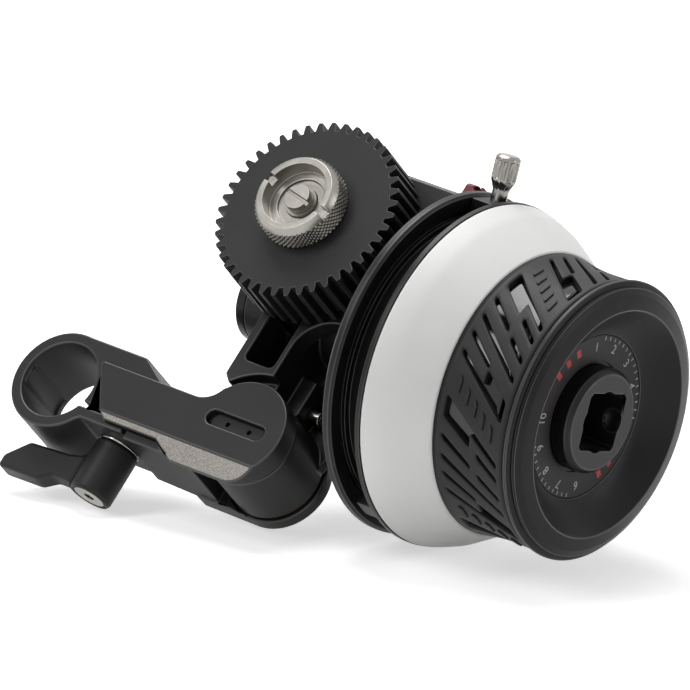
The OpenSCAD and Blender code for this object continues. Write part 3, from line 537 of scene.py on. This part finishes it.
class RingPattern(NodeSheet):
    """Geometry Nodes tree that sets one small solid in rings round the Z axis."""

    SIZES = (("Count", "NodeSocketInt"), ("Rows", "NodeSocketInt"), ("Radius", "NodeSocketFloat"),
             ("Row Pitch", "NodeSocketFloat"), ("Stagger", "NodeSocketFloat"), ("Start", "NodeSocketFloat"),
             ("Step", "NodeSocketFloat"), ("Lean", "NodeSocketFloat"), ("Cell", "NodeSocketVector"),
             ("Material", "NodeSocketMaterial"))

    def __init__(self, name: str, pointed: bool) -> None:
        """Builds the tree.

        Args:
            name: The tree's name.
            pointed: True for four-sided points, False for bars.
        """
        super().__init__(bpy.data.node_groups.new(name, "GeometryNodeTree"))
        face = self.tree.interface
        for label, kind in self.SIZES:
            face.new_socket(label, in_out="INPUT", socket_type=kind)
        face.new_socket("Geometry", in_out="OUTPUT", socket_type="NodeSocketGeometry")
        entry = self.tree.nodes.new("NodeGroupInput")
        size = {label: Signal(self, entry.outputs[label]) for label, _ in self.SIZES}
        index = self.node("GeometryNodeInputIndex")
        row = (index / size["Count"] + 1e-4).whole()
        turn = size["Start"] + (index - row * size["Count"] + size["Stagger"] * (row % 2)) * size["Step"]
        east = self.node("ShaderNodeMath", {"operation": "COSINE"}, {0: turn}) * size["Radius"]
        north = self.node("ShaderNodeMath", {"operation": "SINE"}, {0: turn}) * size["Radius"]
        place = self.node("ShaderNodeCombineXYZ", {}, {0: east, 1: north, 2: row * size["Row Pitch"]})
        count = size["Count"] * size["Rows"]
        points = self.node("GeometryNodePoints", {}, {"Count": count, "Position": place})
        if pointed:
            cell = self.node("GeometryNodeMeshCone", {}, {"Vertices": 4, "Radius Top": 0.0,
                             "Radius Bottom": 1.0, "Depth": 1.0}, "Mesh")
        else:
            cell = self.node("GeometryNodeMeshCube", {}, {"Size": (1.0, 1.0, 1.0)}, "Mesh")
        lean = self.node("ShaderNodeCombineXYZ", {}, {1: size["Lean"], 2: turn})
        copies = self.node("GeometryNodeInstanceOnPoints", {}, {"Points": points, "Instance": cell,
                           "Rotation": lean, "Scale": size["Cell"]})
        solid = self.node("GeometryNodeRealizeInstances", {}, {0: copies})
        dressed = self.node("GeometryNodeSetMaterial", {}, {"Geometry": solid, "Material": size["Material"]})
        exit_node = self.tree.nodes.new("NodeGroupOutput")
        self.feed(exit_node.inputs[0], dressed)

    def grow(self, bench: Bench, name: str, sizes: dict[str, Any], place: Matrix) -> bpy.types.Mesh:
        """Runs the tree and moves what it makes into place.

        Args:
            bench: The bench that applies modifiers.
            name: The mesh's name.
            sizes: Values of the tree's inputs, in metres and radians.
            place: Where its rings lie in the frame.

        Returns:
            The mesh.
        """
        holder = bpy.data.objects.new(name, bpy.data.meshes.new(name))
        bpy.context.scene.collection.objects.link(holder)
        modifier = holder.modifiers.new(name, "NODES")
        modifier.node_group = self.tree
        for item in self.tree.interface.items_tree:
            if item.in_out == "INPUT" and item.name in sizes:
                modifier[item.identifier] = sizes[item.name]
        mesh = bench.applied(holder)
        mesh.transform(place)
        return mesh


# ---- sub-assemblies ---------------------------------------------------------------------------

@dataclass
class ClampArm:
    """The rod clamp with its lever, and the arm out to the hinge."""

    facet_normal: Point = (0.0, -1.0, -1.0)
    casting_edge_mm: float = 0.35
    plate_edge_mm: float = 0.28
    lever_edge_mm: float = 0.7

    def build(self, bench: Bench) -> None:
        """Finishes the arm's and the lever's nodes."""
        edge = Finish.ANODISED_EDGE_WEAR_AND_HIGHLIGHT
        facets = ((self.facet_normal, Finish.BARE_FACET),)
        for trim in (
            Trim("arm_body", Finish.ANODISED, self.casting_edge_mm, edge, 3),
            Trim("arm_front_plate", Finish.ANODISED, self.plate_edge_mm, edge, 3, facets=facets),
            Trim("arm_slot_insert", Finish.ANODISED, 0.08),
            Trim("arm_plate_screws", Finish.STEEL, 0.15),
            Trim("hinge_screw", Finish.DARK_STEEL, 0.15),
            Trim("hinge_screw_washer", Finish.STEEL, 0.12),
            Trim("clamp_washer", Finish.STEEL, 0.1),
            Trim("clamp_lever", Finish.ANODISED, self.lever_edge_mm, Finish.ANODISED, 4),
            Trim("lever_cap_screw", Finish.STEEL, 0.08),
        ):
            bench.finish(trim)
        bench.dress("hinge_pin", Finish.STEEL)
        bench.dress("hinge_washers", Finish.BRONZE)
        bench.dress("clamp_screw", Finish.STEEL)


@dataclass
class Gearbox:
    """The case with its leg and barrel, the stop drum and the gear train inside."""

    case_edge_mm: float = 0.35
    drum_edge_mm: float = 0.15
    hidden: dict[str, Finish] = field(default_factory=lambda: {
        "idler_bushes": Finish.BRONZE, "gear_shaft_bushes": Finish.BRONZE, "knob_bearings": Finish.STEEL,
        "bearing_spacer": Finish.STEEL, "stop_drum_screws": Finish.STEEL, "idler_shaft": Finish.STEEL,
        "idler_spur_gear": Finish.STEEL, "idler_bevel_gear": Finish.BRONZE, "output_spur_gear": Finish.STEEL,
        "knob_bevel_gear": Finish.BRONZE, "knob_shaft": Finish.STEEL})

    def build(self, bench: Bench) -> None:
        """Finishes the gearbox's nodes."""
        edge = Finish.ANODISED_EDGE_WEAR_AND_HIGHLIGHT
        for trim in (
            Trim("gearbox_case", Finish.ANODISED, self.case_edge_mm, edge, 3),
            Trim("gearbox_rear_cover", Finish.ANODISED, 0.16, edge),
            Trim("rear_cover_screws", Finish.STEEL, 0.12),
            Trim("barrel_cap", Finish.TURNED_BLACK, 0.3, Finish.TURNED_BLACK, 3),
            Trim("hinge_lock_screw", Finish.STEEL, 0.2),
            Trim("index_pointer", Finish.RED, 0.35, Finish.RED, 3),
            Trim("stop_drum", Finish.TURNED_BLACK, self.drum_edge_mm, edge),
        ):
            bench.finish(trim)
        for node, finish in self.hidden.items():
            bench.dress(node, finish)


@dataclass
class LensDrive:
    """The drive gear, its shaft and hub, and the knurled nut with its end screw."""

    tooth_edge_mm: float = 0.12
    knurl_pitch_mm: float = 0.96
    knurl_height_mm: float = 0.42
    knurl_sunk_mm: float = 0.14
    smooth_band_mm: float = 1.1

    def build(self, bench: Bench) -> None:
        """Finishes the gear's nodes and cuts the nut's knurl."""
        bench.finish(Trim("drive_gear", Finish.ACETAL, self.tooth_edge_mm, Finish.ACETAL_EDGE_HIGHLIGHT))
        bench.finish(Trim("gear_nut", Finish.NUT_STEEL, 0.12, Finish.NUT_STEEL, sharper_than_deg=20))
        bench.finish(Trim("gear_end_screw", Finish.NUT_STEEL, 0.08))
        bench.dress("gear_shaft", Finish.NUT_STEEL)
        bench.dress("gear_hub", Finish.STEEL)
        self._knurl(bench)

    def _knurl(self, bench: Bench) -> None:
        """Sets the diamond knurl on the nut's band behind its smooth chamfer."""
        low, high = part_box("gear_nut")
        radius = (high.x - low.x) / 2 / MM
        band = (high.y - low.y) / MM - self.smooth_band_mm
        count = round(2 * math.pi * radius / self.knurl_pitch_mm)
        pitch = 2 * math.pi * radius / count
        rows = int(2 * band / pitch)
        place = Matrix.Translation(((low.x + high.x) / 2, high.y, (low.z + high.z) / 2))
        half = pitch / 2 * 1.02
        # The knurl takes the darker copy of the steel: painted shade of its grooves.
        sizes = {"Count": count, "Rows": rows - 1, "Radius": (radius - self.knurl_sunk_mm) * MM,
                 "Row Pitch": pitch / 2 * MM, "Stagger": 0.5, "Start": 0.0, "Step": math.tau / count,
                 "Lean": math.pi / 2, "Cell": (half * MM, half * MM, self.knurl_height_mm * MM),
                 "Material": bench.rack.take(Finish.KNURL_SHADED_STEEL)}
        turn = Euler((math.radians(90), 0, 0)).to_matrix().to_4x4()
        inset = Matrix.Translation((0, 0, pitch / 2 * MM))
        mesh = RingPattern("knurl_points", pointed=True).grow(bench, "nut_knurl", sizes, place @ turn @ inset)
        bench.piece("nut_knurl", mesh, "nut", "stainless_steel")


class SlottedSleeve:
    """The grip's rubber: a waisted sleeve with slanted slots in equal sectors, all in one mesh.

    A sector is drawn flat, as u across and a along the grip, both in mm. Angles grow with a by the
    slant, so slots that are upright in the drawing lean on the grip.
    """

    ROOT_R, WAIST_R, LIP_R, WAIST_SHARE = 26.1, 25.2, 25.4, 0.55
    ROOT_CURVE, LIP_CURVE = 1.8, 2
    SECTORS = 6
    SLANT_DEG_PER_MM = 1.8
    START_DEG = 146.7
    REFERENCE_R = 25.3
    SECTOR_START_DEG = -8.0
    TOP, MIDDLE_TOP, MIDDLE_LOW, LOW = 1.65, 7.65, 9.1, 13.65
    SLOT_DEG = 2.2
    CORNER_MM = 0.42
    LIP_MM = 0.18
    GRID_MM = 1.05
    ARC_STEPS = 4
    GUARD_MM = 0.45
    BARS, BAR_CENTRE_DEG, BAR_HALF_DEG = 5, 51.4, 3.2
    BAR_HALF_MM, BAR_PITCH_MM, BAR_RISE_MM = 0.48, 2.1, 0.32
    BAR_EDGE_MM, BAR_SUNK_MM = 0.12, 0.1

    def __init__(self, thickness_mm: float) -> None:
        """Takes the sleeve's ends from the CAD node."""
        low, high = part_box("rubber_grip")
        self.x0, self.length = low.x / MM, (high.x - low.x) / MM
        self.axis_y, self.axis_z = (low.y + high.y) / 2 / MM, (low.z + high.z) / 2 / MM
        self.thickness = thickness_mm
        self.mm_per_deg = math.radians(1) * self.REFERENCE_R
        self.u0 = self.SECTOR_START_DEG * self.mm_per_deg
        self.width = 360 / self.SECTORS * self.mm_per_deg
        self.columns = round(self.width / self.GRID_MM)

    def radius(self, along: float) -> float:
        """The sleeve's outer radius at a place along it."""
        share = along / self.length
        if share < self.WAIST_SHARE:
            before = 1 - share / self.WAIST_SHARE
            return self.WAIST_R + (self.ROOT_R - self.WAIST_R) * before ** self.ROOT_CURVE
        past = (share - self.WAIST_SHARE) / (1 - self.WAIST_SHARE)
        return self.WAIST_R + (self.LIP_R - self.WAIST_R) * past ** self.LIP_CURVE

    def lifted(self, u: float, along: float, lift: float, sector: int) -> Point:
        """A point of the drawing, set on the grip.

        Args:
            u: Place across the sector.
            along: Place along the grip.
            lift: Height above the sleeve's outer surface.
            sector: The sector's number.

        Returns:
            The point in the frame, in mm.
        """
        angle = math.radians(self.START_DEG + u / self.mm_per_deg + self.SLANT_DEG_PER_MM * along
                             + sector * 360 / self.SECTORS)
        r = self.radius(min(max(along, 0.0), self.length)) + lift
        return (self.x0 + along, self.axis_y + r * math.cos(angle), self.axis_z + r * math.sin(angle))

    def slots(self) -> list[list[Flat]]:
        """The sector's slots as corners in degrees across and mm along, anticlockwise."""
        top, upper, lower, low, w = self.TOP, self.MIDDLE_TOP, self.MIDDLE_LOW, self.LOW, self.SLOT_DEG
        uprights = ((15.5, top, upper), (32.3, top, upper), (24.2, top, low), (6.6, lower, low),
                    (15.9, lower, low))
        bars = [[(u, a0), (u + w, a0), (u + w, a1), (u, a1)] for u, a0, a1 in uprights]
        window = [(0.0, top), (8.8, top), (8.4, upper - 0.25), (w, upper - 0.25), (w, low), (0.0, low)]
        mate = [(42.9 - u, top + low - a) for u, a in window]
        return [[(u * self.mm_per_deg, a) for u, a in corners] for corners in (*bars, window, mate)]

    def rounded(self, corners: Sequence[Flat], offset: float) -> list[Flat]:
        """An outline with round corners, moved outwards by an offset.

        Args:
            corners: Anticlockwise corners.
            offset: How far the outline moves outwards.

        Returns:
            Points whose number doesn't depend on the offset.
        """
        count = len(corners)
        points = [Vector(c) for c in corners]
        ways = [(points[(i + 1) % count] - points[i]).normalized() for i in range(count)]
        arcs: list[list[Vector]] = []
        for i, point in enumerate(points):
            into, out = ways[i - 1], ways[i]
            n1, n2 = Vector((into.y, -into.x)), Vector((out.y, -out.x))
            moved = point + (n1 + n2) * (offset / (1 + n1.dot(n2)))
            bend = into.cross(out)
            r = self.CORNER_MM + (offset if bend > 0 else -offset)
            half = math.atan2(abs(bend), into.dot(out)) / 2
            start, side = moved - into * (r * math.tan(half)), (-n1 if bend > 0 else n1)
            centre = start + side * r
            spoke = start - centre
            sign = 1 if bend > 0 else -1
            arcs.append([centre + Matrix.Rotation(sign * 2 * half * k / self.ARC_STEPS, 2) @ spoke
                         for k in range(self.ARC_STEPS + 1)])
        outline: list[Flat] = []
        for i, arc in enumerate(arcs):
            outline += [tuple(p) for p in arc]
            span = (points[(i + 1) % count] - points[i]).length
            steps = max(1, round(span / self.GRID_MM))
            after = arcs[(i + 1) % count][0]
            outline += [tuple(arc[-1].lerp(after, k / steps)) for k in range(1, steps)]
        return outline

    @staticmethod
    def holds(outline: Sequence[Flat], point: Flat) -> bool:
        """True if a point lies inside an outline."""
        inside = False
        for (x0, y0), (x1, y1) in zip(outline, [*outline[1:], outline[0]]):
            if (y0 > point[1]) != (y1 > point[1]) and point[0] < x0 + (point[1] - y0) * (x1 - x0) / (y1 - y0):
                inside = not inside
        return inside

    def sheet(self, outlines: Sequence[Sequence[Flat]]) -> tuple[list[Flat], list[tuple[int, ...]]]:
        """Triangles of one sector with its outlines left open.

        Args:
            outlines: The holes.

        Returns:
            Points and triangles.
        """
        columns, rows = self.columns, round(self.length / self.GRID_MM)
        guard = [self.rounded(c, self.GUARD_MM) for c in self.slots()]
        points: list[Flat] = []
        for i in range(columns + 1):
            for j in range(rows + 1):
                point = (self.u0 + self.width * i / columns, self.length * j / rows)
                on_rim = i in (0, columns) or j in (0, rows)
                if on_rim or not any(self.holds(g, point) for g in guard):
                    points.append(point)
        edges: list[tuple[int, int]] = []
        faces: list[list[int]] = []
        for outline in outlines:
            first = len(points)
            ring = list(range(first, first + len(outline)))
            points += outline
            faces.append(ring)
            edges += list(zip(ring, ring[1:] + ring[:1]))
        out = delaunay_2d_cdt([Vector(p) for p in points], edges, faces, 0, 1e-7)
        flat = [(p.x, p.y) for p in out[0]]
        return flat, [tuple(f) for f, made_from in zip(out[2], out[5]) if not made_from]

    def build(self, bench: Bench) -> None:
        """Makes the sleeve and its raised bars as pieces that ride on the knob."""
        points: list[Point] = []
        faces: list[tuple[int, ...]] = []
        slots = self.slots()
        mouths = [self.rounded(c, self.LIP_MM) for c in slots]
        throats = [self.rounded(c, 0.0) for c in slots]
        outside, inside = self.sheet(mouths), self.sheet(throats)
        for sector in range(self.SECTORS):
            for (flat, triangles), lift in ((outside, 0.0), (inside, -self.thickness)):
                first = len(points)
                points += [self.lifted(u, a, lift, sector) for u, a in flat]
                faces += [tuple(first + i for i in t) for t in triangles]
            for mouth, throat in zip(mouths, throats):
                rings = [(mouth, 0.0), (throat, -self.LIP_MM), (throat, -self.thickness)]
                self._walls(points, faces, rings, sector)
        self._ends(points, faces)
        mesh = bench.mesh("grip_rubber", points, faces, [Finish.RUBBER])
        mesh = bench.soften(mesh, Trim("rubber_grip", Finish.RUBBER, 0.0))
        bench.piece("grip_rubber", mesh, "knob", "rubber", ["rubber_grip"])
        self._bars(bench)

    def _walls(self, points: list[Point], faces: list[tuple[int, ...]],
               rings: Sequence[tuple[Sequence[Flat], float]], sector: int) -> None:
        """Adds the strips between rings of equal length, one below the other."""
        for (upper, lift), (lower, sunk) in zip(rings, rings[1:]):
            first, count = len(points), len(upper)
            points += [self.lifted(u, a, lift, sector) for u, a in upper]
            points += [self.lifted(u, a, sunk, sector) for u, a in lower]
            faces += [(first + i, first + (i + 1) % count, first + count + (i + 1) % count, first + count + i)
                      for i in range(count)]

    def _ends(self, points: list[Point], faces: list[tuple[int, ...]]) -> None:
        """Closes the sleeve's two ends."""
        columns = self.columns
        for along in (0.0, self.length):
            for sector in range(self.SECTORS):
                first = len(points)
                for lift in (0.0, -self.thickness):
                    points += [self.lifted(self.u0 + self.width * i / columns, along, lift, sector)
                               for i in range(columns + 1)]
                faces += [(first + i, first + i + 1, first + columns + 2 + i, first + columns + 1 + i)
                          for i in range(columns)]

    def _bars(self, bench: Bench) -> None:
        """Raises short bars on each plain field between the slots."""
        half, rise, edge, sunk = self.BAR_HALF_MM, self.BAR_RISE_MM, self.BAR_EDGE_MM, self.BAR_SUNK_MM
        u0, u1 = ((self.BAR_CENTRE_DEG + side * self.BAR_HALF_DEG) * self.mm_per_deg for side in (-1, 1))
        points: list[Point] = []
        faces: list[tuple[int, ...]] = []
        for sector in range(self.SECTORS):
            for i in range(self.BARS):
                along = self.length / 2 + (i - (self.BARS - 1) / 2) * self.BAR_PITCH_MM
                corners = [(u0, along - half), (u1, along - half), (u1, along + half), (u0, along + half)]
                foot, head = self.rounded(corners, 0.0), self.rounded(corners, -edge)
                self._walls(points, faces, [(head, rise), (foot, rise - edge), (foot, -sunk)], sector)
                for ring, lift in ((head, rise), (foot, -sunk)):
                    first = len(points)
                    points += [self.lifted(u, a, lift, sector) for u, a in ring]
                    faces.append(tuple(range(first, first + len(ring))))
        mesh = bench.mesh("grip_bars", points, faces, [Finish.RUBBER])
        mesh = bench.soften(mesh, Trim("rubber_grip", Finish.RUBBER, 0.0))
        bench.piece("grip_bars", mesh, "knob", "rubber")


@dataclass(frozen=True)
class DialMarks:
    """A row of equal marks on an arc of the dial."""

    count: int
    step_deg: float
    radius_mm: float
    length_mm: float
    width_mm: float
    finish: Finish


@dataclass
class Knob:
    """The hand knob from the channel disc to the hub, with its dial's marks."""

    rubber_mm: float = 1.2
    dial_mark_mm: float = 0.03
    numeral_mm: float = 1.75
    numeral_r: float = 12.7
    numeral_starts: tuple[tuple[float, int], ...] = ((129.0, 1), (309.0, 6))
    numeral_step_deg: float = 24.0
    numerals_in_arc: int = 5
    font_share: float = 1.35
    baseline_share: float = 0.35
    ticks: DialMarks = DialMarks(16, 6.0, 14.4, 0.7, 0.2, Finish.DIAL_INK)
    tick_starts_deg: Flat = (120.0, 300.0)
    reds: DialMarks = DialMarks(3, 13.0, 13.2, 1.5, 1.1, Finish.DIAL_RED)
    red_starts_deg: Flat = (241.0, 68.0)

    def build(self, bench: Bench) -> None:
        """Finishes the knob's nodes, and makes the grip and the dial's marks."""
        edge = Finish.ANODISED_EDGE_WEAR_AND_HIGHLIGHT
        for trim in (
            Trim("channel_plate", Finish.TURNED_BLACK, 0.15, edge),
            Trim("marking_ring", Finish.WHITE, 0.2, Finish.WHITE, 3, sharper_than_deg=24),
            Trim("grip_core", Finish.GLOSS, 0.0),
            # The flange takes the darker copy of the black anodise: painted shade.
            Trim("knob_flange", Finish.FLANGE_SHADED_BLACK, 0.18, edge, 3),
            Trim("hub_socket", Finish.TURNED_BLACK, 0.2, edge, 3),
            Trim("dial_ring", Finish.DIAL, 0.05),
            Trim("stop_dog", Finish.DARK_STEEL, 0.15),
        ):
            bench.finish(trim)
        for node in ("flange_screws", "core_screws"):
            bench.dress(node, Finish.STEEL)
        SlottedSleeve(self.rubber_mm).build(bench)
        self._dial(bench)

    def _dial(self, bench: Bench) -> None:
        """Prints ticks and numerals on the dial, with two groups of red ticks between them."""
        low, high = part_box("dial_ring")
        centre = Vector((high.x, (low.y + high.y) / 2, (low.z + high.z) / 2))
        place = Matrix.Translation(centre) @ Euler((0, math.radians(90), 0)).to_matrix().to_4x4()
        bars = RingPattern("dial_bars", pointed=False)
        for kind, marks, starts_deg in (("dial_ticks", self.ticks, self.tick_starts_deg),
                                        ("dial_red", self.reds, self.red_starts_deg)):
            cell = (marks.length_mm * MM, marks.width_mm * MM, 2 * self.dial_mark_mm * MM)
            for side, start_deg in zip(("upper", "lower"), starts_deg):
                name = f"{kind}_{side}"
                sizes = {"Count": marks.count, "Rows": 1, "Radius": marks.radius_mm * MM, "Row Pitch": 0.0,
                         "Stagger": 0.0, "Start": math.radians(start_deg), "Lean": 0.0, "Cell": cell,
                         "Step": math.radians(marks.step_deg), "Material": bench.rack.take(marks.finish)}
                bench.piece(name, bars.grow(bench, name, sizes, place), "knob", "dial_finish")
        self._numerals(bench, centre)

    def _numerals(self, bench: Bench, centre: Vector) -> None:
        """Prints plain numbers in two arcs, read from outside with their heads outwards."""
        mesh = bpy.data.meshes.new("dial_numerals")
        work = bmesh.new()
        for start, first in self.numeral_starts:
            for i in range(self.numerals_in_arc):
                angle = math.radians(start - self.numeral_step_deg * i)
                up = Vector((0, math.cos(angle), math.sin(angle)))
                right = up.cross(Vector((1, 0, 0)))
                turn = Matrix((right, up, Vector((1, 0, 0)))).transposed().to_4x4()
                foot_mm = self.numeral_r - self.baseline_share * self.numeral_mm
                place = Matrix.Translation(centre + up * foot_mm * MM) @ turn
                letter = bpy.data.curves.new("numeral", "FONT")
                letter.body = str(first + i)
                letter.size = self.font_share * self.numeral_mm * MM
                letter.extrude = self.dial_mark_mm * MM
                letter.align_x = "CENTER"
                letter.resolution_u = 3
                holder = bpy.data.objects.new("numeral", letter)
                bpy.context.scene.collection.objects.link(holder)
                shape = bench.applied(holder)
                shape.transform(place)
                work.from_mesh(shape)
                bpy.data.meshes.remove(shape)
        bmesh.ops.remove_doubles(work, verts=work.verts, dist=bench.WELD_M)
        for face in work.faces:
            face.material_index = 0
        work.to_mesh(mesh)
        work.free()
        mesh.materials.append(bench.rack.take(Finish.DIAL_INK))
        bench.piece("dial_numerals", mesh, "knob", "dial_finish")


@dataclass
class HardStops:
    """The two sliding stops with their thumbscrews."""

    screw_edge_mm: float = 0.1

    def build(self, bench: Bench) -> None:
        """Finishes the stops' nodes."""
        for letter in "ab":
            bench.finish(Trim(f"stop_block_{letter}", Finish.TURNED_BLACK, 0.2, Finish.ANODISED_EDGE_WEAR_AND_HIGHLIGHT))
            bench.finish(Trim(f"stop_screw_{letter}", Finish.STEEL, self.screw_edge_mm, sharper_than_deg=25))


# ---- studio -----------------------------------------------------------------------------------

@dataclass(frozen=True)
class SoftBox:
    """A lamp: its direction from the unit as (right, up, towards the camera), and its size."""

    name: str
    direction: Point
    distance_m: float
    width_m: float
    height_m: float
    power_w: float


@dataclass(frozen=True)
class Flag:
    """A dark card that the camera doesn't see: its direction in the frame, distance and side."""

    name: str
    direction: Point
    distance_m: float
    side_m: float


@dataclass
class Studio:
    """The camera, the floor that the unit lies on, the lamps and the pale room."""

    azimuth_deg: float = 37.07
    elevation_deg: float = -15.55
    roll_deg: float = 31.68
    aim_mm: Point = (54.8, -5.1, 23.2)
    distance_mm: float = 1600.0
    lens_mm: float = 471.0
    film_mm: float = 36.0
    floor_up: Point = (-0.087, -0.654, 0.751)
    floor_m: float = 1.2
    floor_gap_m: float = 0.0002
    floor_white: float = 0.88
    floor_glow: float = 0.58
    room_light: float = 0.2
    room_seen: float = 0.8
    flag_black: float = 0.01
    lamps: tuple[SoftBox, ...] = (
        SoftBox("overhead", (-0.15, 1.0, -0.3), 0.8, 0.7, 0.5, 6.2),
        SoftBox("left_key", (-1.0, 1.0, 0.35), 0.9, 0.3, 0.45, 2.6),
        SoftBox("right_fill", (1.0, 0.25, 0.35), 1.1, 0.3, 0.6, 1.5),
    )
    flags: tuple[Flag, ...] = (
        Flag("flag_front", (-0.58, -0.77, 0.27), 1.3, 1.0),
        Flag("flag_side", (0.58, 0.77, 0.27), 1.3, 1.1),
        Flag("flag_edge", (0.95, -0.25, 0.2), 1.3, 0.5),
    )

    def build(self) -> None:
        """Makes the camera first, then everything round the unit."""
        scene = bpy.context.scene
        scene.view_settings.view_transform = "Standard"
        self.back, self.right, self.up = self._axes()
        self._camera(scene)
        self._room(scene)
        for lamp in self.lamps:
            self._lamp(lamp)
        for flag in self.flags:
            self._flag(flag)

    def _axes(self) -> tuple[Vector, Vector, Vector]:
        """The camera's axes from its three angles."""
        a, e, r = (math.radians(v) for v in (self.azimuth_deg, self.elevation_deg, self.roll_deg))
        back = Vector((math.sin(a) * math.cos(e), -math.cos(a) * math.cos(e), math.sin(e)))
        level = Vector((0, 0, 1)).cross(back).normalized()
        right = level * math.cos(r) + back.cross(level) * math.sin(r)
        return back, right, back.cross(right)

    def _camera(self, scene: bpy.types.Scene) -> None:
        """Stands the camera at the photograph's viewpoint."""
        data = bpy.data.cameras.new("camera")
        data.lens, data.sensor_width = self.lens_mm, self.film_mm
        data.clip_start, data.clip_end = 0.05, 20.0
        camera = bpy.data.objects.new("camera", data)
        camera.rotation_mode = "QUATERNION"
        camera.rotation_quaternion = Matrix((self.right, self.up, self.back)).transposed().to_quaternion()
        camera.location = Vector(self.aim_mm) * MM + self.back * self.distance_mm * MM
        scene.collection.objects.link(camera)
        scene.camera = camera

    @staticmethod
    def _seen(sheet: NodeSheet) -> Signal:
        """1 for rays from the camera, off a mirror or through glass, 0 for lighting rays."""
        path = sheet.tree.nodes.new("ShaderNodeLightPath")
        camera, glossy, through = (Signal(sheet, path.outputs[n]) for n in
                                   ("Is Camera Ray", "Is Glossy Ray", "Is Transmission Ray"))
        return (camera + glossy + through).above(0.0, 1.0)

    def _room(self, scene: bpy.types.Scene) -> None:
        """A white room that lights the unit plainly."""
        world = bpy.data.worlds.new("room")
        world.use_nodes = True
        scene.world = world
        sheet = NodeSheet(world.node_tree)
        background = next(n for n in world.node_tree.nodes if n.type == "BACKGROUND")
        background.inputs["Color"].default_value = (1.0, 1.0, 1.0, 1.0)
        sheet.feed(background.inputs["Strength"], self._seen(sheet) * self.room_seen + self.room_light)

    def lay_floor(self, pieces: Iterable[bpy.types.Object]) -> None:
        """Lays a white floor, seen from above only, just under the unit's lowest point at rest.

        Args:
            pieces: The pieces that the floor lies under.
        """
        up = Vector(self.floor_up).normalized()
        aim = Vector(self.aim_mm) * MM
        lowest = min(up.dot(corner.co) for piece in pieces for corner in piece.data.vertices)
        middle = aim + up * (lowest - up.dot(aim) - self.floor_gap_m)
        floor = self._square("floor", middle, up, 2 * self.floor_m, self._floor_paint())

    @staticmethod
    def _square(name: str, middle: Vector, way: Vector, side_m: float,
                material: bpy.types.Material) -> bpy.types.Object:
        """A flat square for the stage.

        Args:
            name: Its name.
            middle: Its middle.
            way: The unit vector that it faces along.
            side_m: Its side.
            material: Its material.

        Returns:
            The square.
        """
        across = way.orthogonal().normalized()
        along = way.cross(across)
        corners = [middle + (across * s + along * t) * (side_m / 2)
                   for s, t in ((-1, -1), (1, -1), (1, 1), (-1, 1))]
        mesh = bpy.data.meshes.new(name)
        mesh.from_pydata(corners, [], [(0, 1, 2, 3)])
        mesh.materials.append(material)
        made = bpy.data.objects.new(name, mesh)
        bpy.context.scene.collection.objects.link(made)
        return made

    def _floor_paint(self) -> bpy.types.Material:
        """White paint that keeps shadows and vanishes from below."""
        material = bpy.data.materials.new("floor_white")
        material.use_nodes = True
        sheet = NodeSheet(material.node_tree)
        for node in list(sheet.tree.nodes):
            sheet.tree.nodes.remove(node)
        white = (self.floor_white,) * 3 + (1.0,)
        paint = sheet.node("ShaderNodeBsdfDiffuse", {}, {"Color": white})
        glow = sheet.node("ShaderNodeEmission", {}, {"Color": (1.0, 1.0, 1.0, 1.0),
                          "Strength": self._seen(sheet) * self.floor_glow})
        both = sheet.node("ShaderNodeAddShader", {}, {0: paint, 1: glow})
        clear = sheet.node("ShaderNodeBsdfTransparent")
        below = sheet.node("ShaderNodeNewGeometry", output="Backfacing")
        mixed = sheet.node("ShaderNodeMixShader", {}, {0: below, 1: both, 2: clear})
        exit_node = sheet.tree.nodes.new("ShaderNodeOutputMaterial")
        sheet.feed(exit_node.inputs["Surface"], mixed)
        return material

    def _flag(self, flag: Flag) -> None:
        """Stands one dark card, which gives the black and the steel surfaces something to mirror."""
        way = Vector(flag.direction).normalized()
        material = bpy.data.materials.new(flag.name)
        material.use_nodes = True
        surface = next(n for n in material.node_tree.nodes if n.type == "BSDF_PRINCIPLED")
        surface.inputs["Base Color"].default_value = (self.flag_black,) * 3 + (1.0,)
        surface.inputs["Roughness"].default_value = 1.0
        middle = Vector(self.aim_mm) * MM + way * flag.distance_m
        card = self._square(flag.name, middle, way, flag.side_m, material)
        card.visible_camera = False

    def _lamp(self, lamp: SoftBox) -> None:
        """Hangs one soft box, aimed at the unit."""
        data = bpy.data.lights.new(lamp.name, "AREA")
        data.shape = "RECTANGLE"
        data.size, data.size_y, data.energy = lamp.width_m, lamp.height_m, lamp.power_w
        up = Vector(self.floor_up).normalized()
        towards = (self.back - up * self.back.dot(up)).normalized()
        across, rise, near = lamp.direction
        way = (self.right * across + up * rise + towards * near).normalized()
        made = bpy.data.objects.new(lamp.name, data)
        made.location = Vector(self.aim_mm) * MM + way * lamp.distance_m
        made.rotation_mode = "QUATERNION"
        made.rotation_quaternion = way.to_track_quat("Z", "Y")
        bpy.context.scene.collection.objects.link(made)


# ---- the unit ---------------------------------------------------------------------------------


def main() -> None:
    """Builds the studio and the unit's sub-assemblies in order, then lays the floor under them."""
    logging.basicConfig(level=logging.INFO, format="%(name)s: %(message)s")
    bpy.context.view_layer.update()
    studio = Studio()
    studio.build()
    bench = Bench(FinishRack())
    for assembly in (ClampArm(), Gearbox(), LensDrive(), Knob(), HardStops()):
        LOG.info("building %s", type(assembly).__name__)
        assembly.build(bench)
    studio.lay_floor(bench.pieces)


if __name__ == "__main__":
    main()
